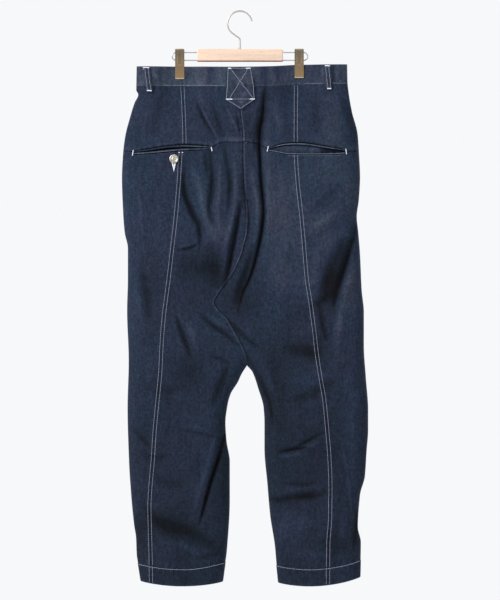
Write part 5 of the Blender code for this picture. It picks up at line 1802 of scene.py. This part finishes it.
def rounded_bend(start, corner, end, segments):
    """Places along a smooth bend that cuts a corner."""
    return [
        start * (1 - t) ** 2 + corner * 2 * t * (1 - t) + end * t * t
        for t in np.linspace(0.0, 1.0, segments + 1).tolist()
    ]


class JEANS_OT_hanger(Step, bpy.types.Operator):
    """Builds the hanger: hook, beech bar, wire rails and the two sprung clips"""

    bl_idname = "jeans.hanger"
    bl_label = "Hanger"

    def make(self):
        self.hook()
        self.bar()
        for side, sign, clip_x in ((LEFT, -1, CLIP_X[0]), (RIGHT, 1, CLIP_X[1])):
            self.rail(side, sign)
            self.spring(side, clip_x)
            for face, which in ((BACK, "back"), (FRONT, "front")):
                self.jaw(f"clip_{side}_{which}_jaw", clip_x, face, JAW_FOOT_Z[side])

    def hook(self):
        centre_z = HOOK_WIRE - HOOK_RADIUS
        circle = arc(0.0, centre_z, HOOK_RADIUS, HOOK_START_ANGLE, HOOK_END_ANGLE, 64)
        elbow = in_plane(0, circle[0].z - HOOK_ELBOW_DROP)
        below = elbow - in_plane(0, HOOK_BEND)
        beside = elbow.lerp(circle[0], HOOK_BEND / (circle[0] - elbow).length)
        foot = in_plane(0, BAR_TOP_Z - SOCKET_DEPTH + WIRE_CLEARANCE)
        points = [foot, *rounded_bend(below, elbow, beside, 12), *circle]
        wire("hook_wire", points, HOOK_WIRE, nickel(), "bright_wire", "hanger_hook", True)
        collar = (
            (0.0021, 0.0016), (0.0040, 0.0013), (0.0044, 0.0006), (0.0042, 0.0), (0.0023, 0.0),
        )
        place, up = (0.0, 0.0, BAR_TOP_Z), (0, 0, 1)
        turned("hook_collar", collar, 32, place, up, nickel(), "bright_wire")

    def bar(self):
        """A planed bar with softly rounded edges."""
        mesh = bpy.data.meshes.new("hanger_bar_beech")
        half = [BAR_WIDTH / 2, BAR_THICKNESS / 2, BAR_HEIGHT / 2]
        corners = [
            (x * half[0], y * half[1], z * half[2] + BAR_TOP_Z - half[2])
            for x in (-1, 1) for y in (-1, 1) for z in (-1, 1)
        ]
        faces = ((0, 1, 3, 2), (4, 6, 7, 5), (0, 4, 5, 1), (2, 3, 7, 6), (0, 2, 6, 4), (1, 5, 7, 3))
        mesh.from_pydata(corners, [], faces)
        made = bpy.data.objects.new("hanger_bar_beech", mesh)
        bevel = made.modifiers.new("planed edges", "BEVEL")
        bevel.width = BAR_ROUNDING
        bevel.segments = 5
        dress(made, beech(), "hanger_bar", "pale_wood")
        mesh.shade_smooth()

    def rail(self, side, sign):
        inner_x = BAR_WIDTH / 2 - SOCKET_DEPTH + WIRE_CLEARANCE
        radius = (RAIL_UPPER_Z - RAIL_LOWER_Z) / 2
        centre_z = (RAIL_UPPER_Z + RAIL_LOWER_Z) / 2
        turn = arc(RAIL_OUTER_X - radius, centre_z, radius, math.pi / 2, -math.pi / 2, 28)
        path = [in_plane(inner_x, RAIL_UPPER_Z), *turn, in_plane(inner_x, RAIL_LOWER_Z)]
        points = [in_plane(sign * point.x, point.z) for point in path]
        name = f"rail_{side}"
        wire(f"{name}_wire", points, RAIL_WIRE, nickel(), "bright_wire", name)

    def spring(self, side, clip_x):
        """A torsion coil round the lower rail wire."""
        turns, per_turn = 7, 16
        radius = SPRING_RADIUS - SPRING_WIRE
        points = []
        for k in range(turns * per_turn + 1):
            angle = 2 * math.pi * k / per_turn
            along_it = (k / (turns * per_turn) - 0.5) * (SPRING_WIDTH - 2 * SPRING_WIRE)
            points.append(Vector((
                clip_x + along_it, radius * math.cos(angle), RAIL_LOWER_Z + radius * math.sin(angle)
            )))
        name = f"clip_{side}_spring"
        wire(f"{name}_coil", points, SPRING_WIRE, nickel(), "bright_wire", name)

    def jaw(self, name, clip_x, face, foot):
        """One pressed plate: flared thumb tab, pressed rib, and a lip that bites the waistband."""
        grip = CLIP_PINCH_DEPTH + 0.00015 + WAISTBAND_PROUD + 0.0003
        belly = SPRING_RADIUS + WIRE_CLEARANCE
        waist = WAIST_TOP_Z - 0.0025
        spine = (
            (belly + 0.0020, JAW_TOP_Z), (belly, RAIL_LOWER_Z + 0.0060),
            (belly, RAIL_LOWER_Z - 0.0040), (grip, waist), (grip, foot),
        )
        stand = smooth_path([(height, out) for out, height in reversed(spine)])
        z = np.linspace(JAW_TOP_Z, foot, 44)[:, None]
        side = np.sin(np.linspace(-1, 1, 19) * math.pi / 2)[None, :]
        corner = 0.0010
        to_end = np.minimum(JAW_TOP_Z - z, z - foot)
        rounded = 1 - np.sqrt(1 - (1 - np.clip(to_end / corner, 0, 1)) ** 2)
        half = CLIP_WIDTH / 2 - corner * rounded
        rib = 0.0007 * smoothstep(0.62, 0.42, np.abs(side)) * smoothstep(waist, waist + 0.008, z)
        lip = 0.0009 * (bell(z - foot - 0.0012, 0.0009) + bell(JAW_TOP_Z - z - 0.0012, 0.0009))
        y = stand(z) + JAW_THICKNESS + rib + lip
        x = clip_x + half * side
        outer = np.stack([x, face * y, z + 0.0 * x], -1)
        normals = unit(np.cross(np.gradient(outer, axis=1), np.gradient(outer, axis=0)))
        normals *= np.sign(normals[..., 1:2]) * face
        # Pale lips: a painted highlight along the rolled edges, partly scuffed plate
        lips = np.repeat(smoothstep(0.0016, 0.0008, to_end), outer.shape[1], axis=1) * 0.75
        mesh = wall(name, outer, outer - normals * JAW_THICKNESS * 0.9, face, lips, 1.0, 40)
        dress(bpy.data.objects.new(f"{name}_brass", mesh), brass(), name, "clip_metal")


class JEANS_OT_stage(Step, bpy.types.Operator):
    """Sets the pale floor, the soft lights, the white room and the camera"""

    bl_idname = "jeans.stage"
    bl_label = "Stage"

    def make(self):
        scene = bpy.context.scene
        self.floor(scene.jeans_stage)
        self.room(scene)
        self.lights(scene)
        self.camera(scene)

    def floor(self, stage):
        bpy.ops.mesh.primitive_circle_add(
            vertices=96, radius=FLOOR_RADIUS, fill_type="NGON", location=(0.0, 0.0, FLOOR_Z)
        )
        floor = bpy.context.object
        floor.name = "studio_floor"
        material, _, _ = new_material("painted_floor", Base_Color=stage.floor, Roughness=0.9)
        floor.data.materials.append(material)

    def room(self, scene):
        world = bpy.data.worlds.new("white_room")
        world.use_nodes = True
        background = world.node_tree.nodes["Background"]
        background.inputs["Color"].default_value = scene.jeans_stage.air
        background.inputs["Strength"].default_value = 1.0
        scene.world = world
        scene.view_settings.view_transform = "Standard"

    def lights(self, scene):
        target = Vector((0.0, 0.0, LIGHTS_AIM_Z))
        for name, place, size, share in SOFTBOXES:
            light = bpy.data.lights.new(name, "AREA")
            light.shape = "SQUARE"
            light.size = size
            light.energy = scene.jeans_stage.key_watts * share
            lamp = bpy.data.objects.new(name, light)
            lamp.location = place
            lamp.rotation_euler = (target - Vector(place)).to_track_quat("-Z", "Y").to_euler()
            scene.collection.objects.link(lamp)

    def camera(self, scene):
        lens = bpy.data.cameras.new("photo_camera")
        lens.sensor_width = SENSOR
        lens.lens = SENSOR * CAMERA_DISTANCE / FRAME_HEIGHT
        camera = bpy.data.objects.new("photo_camera", lens)
        camera.location = (CAMERA_X, CLOTH_PLANE_Y - CAMERA_DISTANCE, CAMERA_Z)
        camera.rotation_euler = (math.radians(90), 0.0, 0.0)
        scene.collection.objects.link(camera)
        scene.camera = camera


class JEANS_PT_sidebar(bpy.types.Panel):
    """Lists the settings, and the steps in the order in which they are run"""

    bl_label = "Hanging Jeans"
    bl_idname = "JEANS_PT_sidebar"
    bl_space_type = "VIEW_3D"
    bl_region_type = "UI"
    bl_category = "Jeans"

    def draw(self, context):
        for name in SETTINGS:
            group = getattr(context.scene, name)
            box = self.layout.box()
            for key in group.__annotations__:
                box.prop(group, key)
        for step in STEPS:
            self.layout.operator(step.bl_idname)


SETTINGS = {
    "jeans_cloth": JeansClothSettings,
    "jeans_thread": JeansThreadSettings,
    "jeans_colours": JeansColourSettings,
    "jeans_stage": JeansStageSettings,
}
STEPS = (
    JEANS_OT_stage,
    JEANS_OT_waistband,
    JEANS_OT_yokes,
    JEANS_OT_back_panels,
    JEANS_OT_front_panels,
    JEANS_OT_hems,
    JEANS_OT_pockets,
    JEANS_OT_belt_loops,
    JEANS_OT_centre_loop,
    JEANS_OT_fly,
    JEANS_OT_topstitching,
    JEANS_OT_buttons,
    JEANS_OT_hanger,
)


def register():
    for group in SETTINGS.values():
        bpy.utils.register_class(group)
    for name, group in SETTINGS.items():
        setattr(bpy.types.Scene, name, PointerProperty(type=group))
    for step in STEPS:
        bpy.utils.register_class(step)
    bpy.utils.register_class(JEANS_PT_sidebar)


def unregister():
    bpy.utils.unregister_class(JEANS_PT_sidebar)
    for step in reversed(STEPS):
        bpy.utils.unregister_class(step)
    for name, group in SETTINGS.items():
        delattr(bpy.types.Scene, name)
        bpy.utils.unregister_class(group)


def main():
    register()
    for step in STEPS:
        family, action = step.bl_idname.split(".")
        getattr(getattr(bpy.ops, family), action)()


if __name__ == "__main__":
    main()
